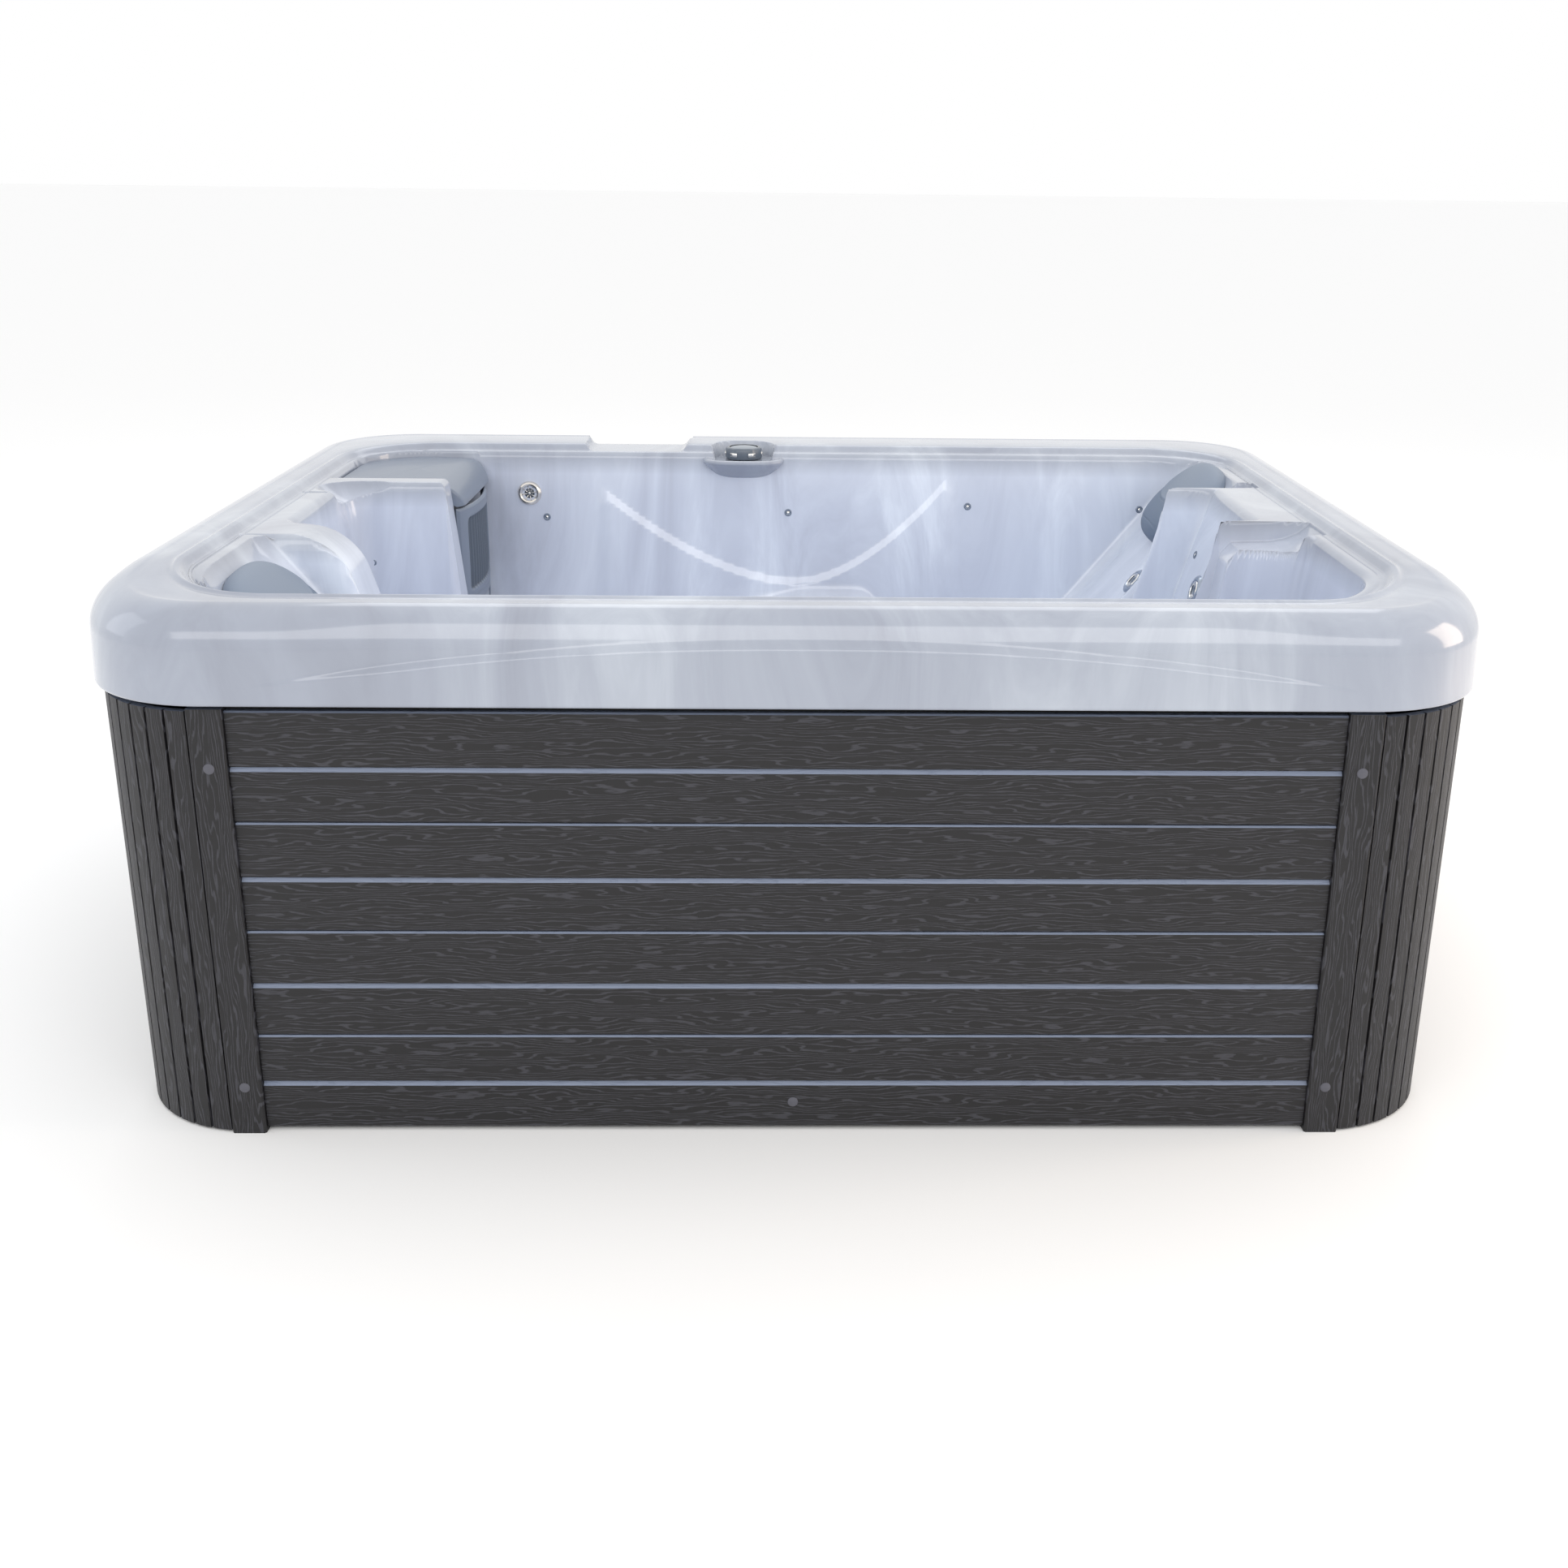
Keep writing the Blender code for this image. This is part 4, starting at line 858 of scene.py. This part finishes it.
def corner_outline(x0, x1, y0, y1, radii, steps=20):
    """Rounded rectangle with its own radius at each corner, counter-clockwise from the front left."""
    points = []
    corners = ((x0, y0, 1, 1), (x1, y0, -1, 1), (x1, y1, -1, -1), (x0, y1, 1, -1))
    for index, ((x, y, sx, sy), radius) in enumerate(zip(corners, radii)):
        angle = np.pi + (index + np.linspace(0, 1, steps)) * np.pi / 2
        points.append(np.column_stack([x + sx * radius + radius * np.cos(angle),
                                       y + sy * radius + radius * np.sin(angle)]))
    return np.concatenate(points)


def lid_surface():
    """Rings from the rim's foot up over a small round to the middle; height rolls off at the right end."""
    outline = corner_outline(LID_X0, LID_X1, LID_Y0, LID_Y1, (0.012, 0.035, 0.035, 0.13))
    middle = np.array(LID_MIDDLE)
    away = outline - middle
    profile = [(0.030, 0.0), (LID_EDGE, 0.0)]
    profile += [(LID_EDGE * (1 - math.sin(angle)), LID_EDGE * (1 - math.cos(angle)))
                for angle in np.linspace(0.2, math.pi / 2, 7)]
    profile += [(0.0, LID_EDGE + LID_SPREAD * t ** 1.5) for t in np.linspace(0.05, 1, 24)]
    rings = []
    for fall, inset in profile:
        share = min(inset / (LID_EDGE + LID_SPREAD), 1)
        even = np.maximum(1 - inset / np.linalg.norm(away, axis=1, keepdims=True), 0.0)
        ring = middle + away * (even * (1 - share ** 3) + share ** 3 * 1e-4)
        roll = crest(ring[:, 0] - (LID_X1 - 0.020), 0.055, 2.2)
        z = np.maximum(LID_TOP - LID_CROWN + LID_CROWN * share + roll - fall, LID_FOOT)
        rings.append(np.column_stack([ring, z]))
    return np.stack(rings)


lid_grid = lid_surface()
lid_piece = make_piece("filter_lid_top", lid_grid.reshape(-1, 3),
                       grid_faces(*lid_grid.shape[:2], close_columns=True)[:, ::-1], satin, "lid", sharp=40)
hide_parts("filter_lid")
print("filter lid rings:", len(lid_grid))

# %% Filter front
PANEL_X, PANEL_Y0, PANEL_Y1, PANEL_Z0, PANEL_Z1 = -0.668, 0.254, 0.538, 0.4715, 0.7745
OPEN_Y0, OPEN_Y1, LOUVRE_Z0, LOUVRE_Z1, SLOT_Z0, SLOT_Z1 = 0.288, 0.506, 0.598, 0.750, 0.490, 0.566
RIB_PITCH, SEAM_Z = 0.214 / 13, 0.583


def front_surface(rows=150, columns=260):
    """Upright sheet bulging to the right; louvre window sunk and ribbed, weir slot left open."""
    z = np.linspace(PANEL_Z0, PANEL_Z1, rows)[:, None]
    t = np.linspace(0, 1, columns)[None, :]
    y = PANEL_Y0 + (PANEL_Y1 - PANEL_Y0) * t + 0 * z
    off_middle = 2 * t - 1
    bulge = (0.020 * (1 - off_middle ** 2) * (0.65 + 0.35 * step_up(z, 0.50, 0.66))
             + 0.004 * (1 - off_middle ** 8))
    edge = np.minimum(np.minimum(t, 1 - t) * (PANEL_Y1 - PANEL_Y0), between(z, PANEL_Z0, PANEL_Z1, 1, 1))
    rounding = -0.004 * (1 - step_up(edge, 0, 0.006))
    window = rounded_min(between(y, OPEN_Y0, OPEN_Y1, 1, 1), between(z, LOUVRE_Z0, LOUVRE_Z1, 1, 1), 0.014)
    sunk = step_up(window, -0.001, 0.003)
    ribs = 0.5 - 0.5 * np.cos(2 * np.pi * (y - OPEN_Y0 - 0.002) / RIB_PITCH)
    seam = 0.0015 * np.exp(-((z - SEAM_Z) / 0.0014) ** 2)
    x = PANEL_X + bulge + rounding - sunk * (0.010 - 0.007 * ribs ** 2) - seam
    return np.stack([np.broadcast_to(x, y.shape), y, np.broadcast_to(z, y.shape)], 2), window


panel, window = front_surface()
faces = grid_faces(*panel.shape[:2])[:, ::-1]
middles = panel.reshape(-1, 3)[faces].mean(1)
slot = np.minimum(between(middles[:, 1], OPEN_Y0, OPEN_Y1, 1, 1),
                  between(middles[:, 2], SLOT_Z0, SLOT_Z1, 1, 1))
keep = slot < 0
in_window = (window.ravel()[faces].mean(1) > 0.0015)[keep].astype(np.int32)
front_piece = make_piece("filter_front_panel", panel.reshape(-1, 3), faces[keep], satin, "tub")
front_piece.data.materials.append(window_dark)
front_piece.data.polygons.foreach_set("material_index", in_window)
thick = front_piece.modifiers.new("thickness", "SOLIDIFY")
thick.thickness, thick.offset = 0.004, -1
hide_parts("filter_front")
print("filter front:", len(front_piece.data.polygons))

# %% [markdown]
# ## Boards
# The boards are grey composite with a wood grain rolled into them: raised pale lines that run
# along each board and close in long loops. Bands bent by slow noise make such loops when the
# noise is stretched along the board. One node group serves boards, posts and slats, which only
# differ in the direction of the grain.

# %% Grain
GRAIN_BEND, GRAIN_LINE, GRAIN_FULL = 9.0, 0.62, 0.92
# Painted highlight: faces that look up, such as the lower flanks of the grooves, are mixed towards a pale
# blue-grey, as if they caught the sky.
BEVEL_HIGHLIGHT, HIGHLIGHT_FROM, HIGHLIGHT_FULL = (0.19, 0.225, 0.31, 1), 0.25, 0.40
GRAIN_STRETCH = (4.0, 4.0, 190.0)


def make_grain():
    """Lines: a band pattern whose place is shifted by stretched noise; outputs colour and height."""
    tree, given, out = group_with(
        "rolled_grain",
        [("Vector", "NodeSocketVector", None), ("Dark", "NodeSocketColor", (0.0065, 0.0060, 0.0075, 1)),
         ("Pale", "NodeSocketColor", (0.038, 0.038, 0.047, 1))],
        [("Color", "NodeSocketColor"), ("Height", "NodeSocketFloat")])
    broad = add_node(tree, "ShaderNodeMapping", Scale=(1.0, 1.0, 0.14))
    slow = add_node(tree, "ShaderNodeTexNoise", Scale=1.6, Detail=2.5, Roughness=0.5)
    split = add_node(tree, "ShaderNodeSeparateXYZ")
    shift = add_node(tree, "ShaderNodeMath", operation="MULTIPLY_ADD")
    shift.inputs[1].default_value = GRAIN_BEND
    wave = add_node(tree, "ShaderNodeMath", operation="SINE")
    count = add_node(tree, "ShaderNodeMath", operation="MULTIPLY")
    count.inputs[1].default_value = 6.2832
    breaks = add_node(tree, "ShaderNodeTexNoise", Scale=9.0, Detail=2.0)
    cut = add_node(tree, "ShaderNodeMath", operation="MULTIPLY_ADD")
    cut.inputs[1].default_value, cut.inputs[2].default_value = 2.2, -1.0
    lines = add_node(tree, "ShaderNodeMath", operation="ADD")
    ramp = add_node(tree, "ShaderNodeValToRGB")
    ramp.color_ramp.elements[0].position, ramp.color_ramp.elements[1].position = GRAIN_LINE, GRAIN_FULL
    tint = add_node(tree, "ShaderNodeMix", data_type="RGBA")
    wire(tree, [
        (given.outputs["Vector"], broad.inputs["Vector"]), (broad.outputs[0], slow.inputs["Vector"]),
        (given.outputs["Vector"], split.inputs[0]),
        (slow.outputs["Fac"], shift.inputs[0]), (split.outputs["Z"], shift.inputs[2]),
        (shift.outputs[0], count.inputs[0]), (count.outputs[0], wave.inputs[0]),
        (given.outputs["Vector"], breaks.inputs["Vector"]), (breaks.outputs["Fac"], cut.inputs[0]),
        (wave.outputs[0], lines.inputs[0]), (cut.outputs[0], lines.inputs[1]),
        (lines.outputs[0], ramp.inputs["Fac"]), (ramp.outputs["Color"], tint.inputs["Factor"]),
        (given.outputs["Dark"], tint.inputs["A"]), (given.outputs["Pale"], tint.inputs["B"]),
        (tint.outputs["Result"], out.inputs["Color"]), (ramp.outputs["Color"], out.inputs["Height"])])
    return tree


def grained(name, grain, turn=(0, 0, 0)):
    """Board finish: coordinates stretched so that one unit upward is one grain line; faces that look up, such
    as the groove bevels, get a pale painted highlight.
    """
    made = new_material(name, (0.035, 0.034, 0.037), 0.50)
    tree = made.node_tree
    coords = add_node(tree, "ShaderNodeTexCoord")
    turned_in = add_node(tree, "ShaderNodeMapping", Rotation=turn)
    mapping = add_node(tree, "ShaderNodeMapping", Scale=GRAIN_STRETCH)
    group = add_node(tree, "ShaderNodeGroup")
    group.node_tree = grain
    bump = add_node(tree, "ShaderNodeBump", Strength=0.5, Distance=0.0008)
    shader = tree.nodes["Principled BSDF"]
    facing = add_node(tree, "ShaderNodeNewGeometry")
    upward = add_node(tree, "ShaderNodeSeparateXYZ")
    # painted highlight: the more a face looks up, the more it is mixed towards the pale blue-grey
    highlight_share = add_node(tree, "ShaderNodeMapRange")
    highlight_share.inputs["From Min"].default_value, highlight_share.inputs["From Max"].default_value = HIGHLIGHT_FROM, HIGHLIGHT_FULL
    bevel_highlight = add_node(tree, "ShaderNodeMix", data_type="RGBA")
    bevel_highlight.inputs["B"].default_value = BEVEL_HIGHLIGHT
    wire(tree, [
        (coords.outputs["Object"], turned_in.inputs["Vector"]),
        (turned_in.outputs[0], mapping.inputs["Vector"]), (mapping.outputs[0], group.inputs["Vector"]),
        (facing.outputs["True Normal"], upward.inputs[0]), (upward.outputs["Z"], highlight_share.inputs["Value"]),
        (highlight_share.outputs[0], bevel_highlight.inputs["Factor"]), (group.outputs["Color"], bevel_highlight.inputs["A"]),
        (bevel_highlight.outputs["Result"], shader.inputs["Base Color"]),
        (group.outputs["Height"], bump.inputs["Height"]), (bump.outputs["Normal"], shader.inputs["Normal"])])
    return made


grain = make_grain()
board_finish = grained("board_grain", grain)
upright_finish = grained("upright_grain", grain, (0, math.radians(90), 0))
upright_side = grained("upright_side_grain", grain, (math.radians(90), 0, 0))
for name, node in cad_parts.items():
    if "_board_" in name:
        node.data.materials[0] = board_finish
    elif "_post_" in name or name.endswith("_corner"):
        along_side = name.startswith(("left_post", "right_post"))
        node.data.materials[0] = upright_side if along_side else upright_finish
timber = new_material("dark_timber", (0.020, 0.018, 0.016), 0.7)
for name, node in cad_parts.items():
    if name.endswith("_frame"):
        node.data.materials[0] = timber
print("boards finished")

# %% [markdown]
# ## Room, light and camera
# A pale floor and a soft white room. Broad lamps above the back and the front give the long
# bright lines on the rounded edges; a warm one at the right and a weak one at the left set the
# two ends apart. The camera stands in front and looks down into the bath.

# %% Floor and lamps
FLOOR = 300
floor_mesh = bpy.data.meshes.new("floor")
floor_mesh.from_pydata([(-FLOOR, -FLOOR, 0), (FLOOR, -FLOOR, 0), (FLOOR, FLOOR, 0), (-FLOOR, FLOOR, 0)], [],
                       [(0, 1, 2, 3)])
floor_mesh.materials.append(new_material("floor", (0.96, 0.96, 0.96), 0.9))
floor = bpy.data.objects.new("floor", floor_mesh)
bpy.context.scene.collection.objects.link(floor)

world = bpy.data.worlds.new("room")
bpy.context.scene.world = world
world.use_nodes = True
world.node_tree.nodes["Background"].inputs["Color"].default_value = (1.0, 1.0, 1.0, 1)
world.node_tree.nodes["Background"].inputs["Strength"].default_value = 1.0


def lamp(name, place, aim, size, power, colour):
    """Rectangular lamp that hangs at a place and faces the point it is aimed at."""
    light = bpy.data.lights.new(name, "AREA")
    light.shape = "RECTANGLE"
    light.size, light.size_y = size
    light.energy = power
    light.color = colour
    made = bpy.data.objects.new(name, light)
    bpy.context.scene.collection.objects.link(made)
    made.location = place
    ray = np.array(aim, float) - np.array(place, float)
    pitch = math.atan2(math.hypot(ray[0], ray[1]), -ray[2])
    made.rotation_euler = (pitch, 0, math.atan2(-ray[0], ray[1]))


lamp("sky_back", (0.3, 3.4, 4.2), (0, 0.2, 0.6), (5.0, 2.0), 34, (0.95, 0.97, 1.0))
lamp("sky_front", (0.0, -4.2, 3.4), (0, 0, 0.5), (8.0, 1.6), 75, (1.0, 0.98, 0.96))
lamp("side_right", (4.2, -0.6, 1.8), (0.8, 0, 0.6), (1.6, 2.4), 52, (1.0, 0.82, 0.66))
lamp("side_left", (-4.2, -0.4, 2.2), (-0.8, 0, 0.6), (1.6, 2.4), 10, (0.90, 0.94, 1.0))

print("lamps:", [thing.name for thing in bpy.data.lights])

# %% Camera
focal, centre_u, centre_v, frame_size = 2056.59, 1024.59, 889.32, 1932
yaw, pitch, roll = -0.0236, 0.3201, 0.0119
camera_at = (0.0055, -3.0598, 1.4294)
SENSOR = 36
camera_data = bpy.data.cameras.new("camera")
camera_data.sensor_width = SENSOR
camera_data.lens = focal / frame_size * SENSOR
camera_data.shift_x = (frame_size / 2 - centre_u) / frame_size
camera_data.shift_y = (centre_v - frame_size / 2) / frame_size
camera_data.clip_end = 100
camera = bpy.data.objects.new("camera", camera_data)
bpy.context.scene.collection.objects.link(camera)
turn = (np.array([[math.cos(roll), -math.sin(roll), 0], [math.sin(roll), math.cos(roll), 0], [0, 0, 1]])
        @ np.array([[1, 0, 0], [0, math.cos(pitch), -math.sin(pitch)], [0, math.sin(pitch), math.cos(pitch)]])
        @ np.array([[1, 0, 0], [0, 0, -1], [0, 1, 0]])
        @ np.array([[math.cos(yaw), math.sin(yaw), 0], [-math.sin(yaw), math.cos(yaw), 0], [0, 0, 1]]))
axes = np.stack([turn[0], -turn[1], -turn[2]], 1)
camera.matrix_world = Matrix([[*axes[row], camera_at[row]] for row in range(3)] + [[0, 0, 0, 1]])
bpy.context.scene.camera = camera
bpy.context.scene.view_settings.view_transform = "Standard"
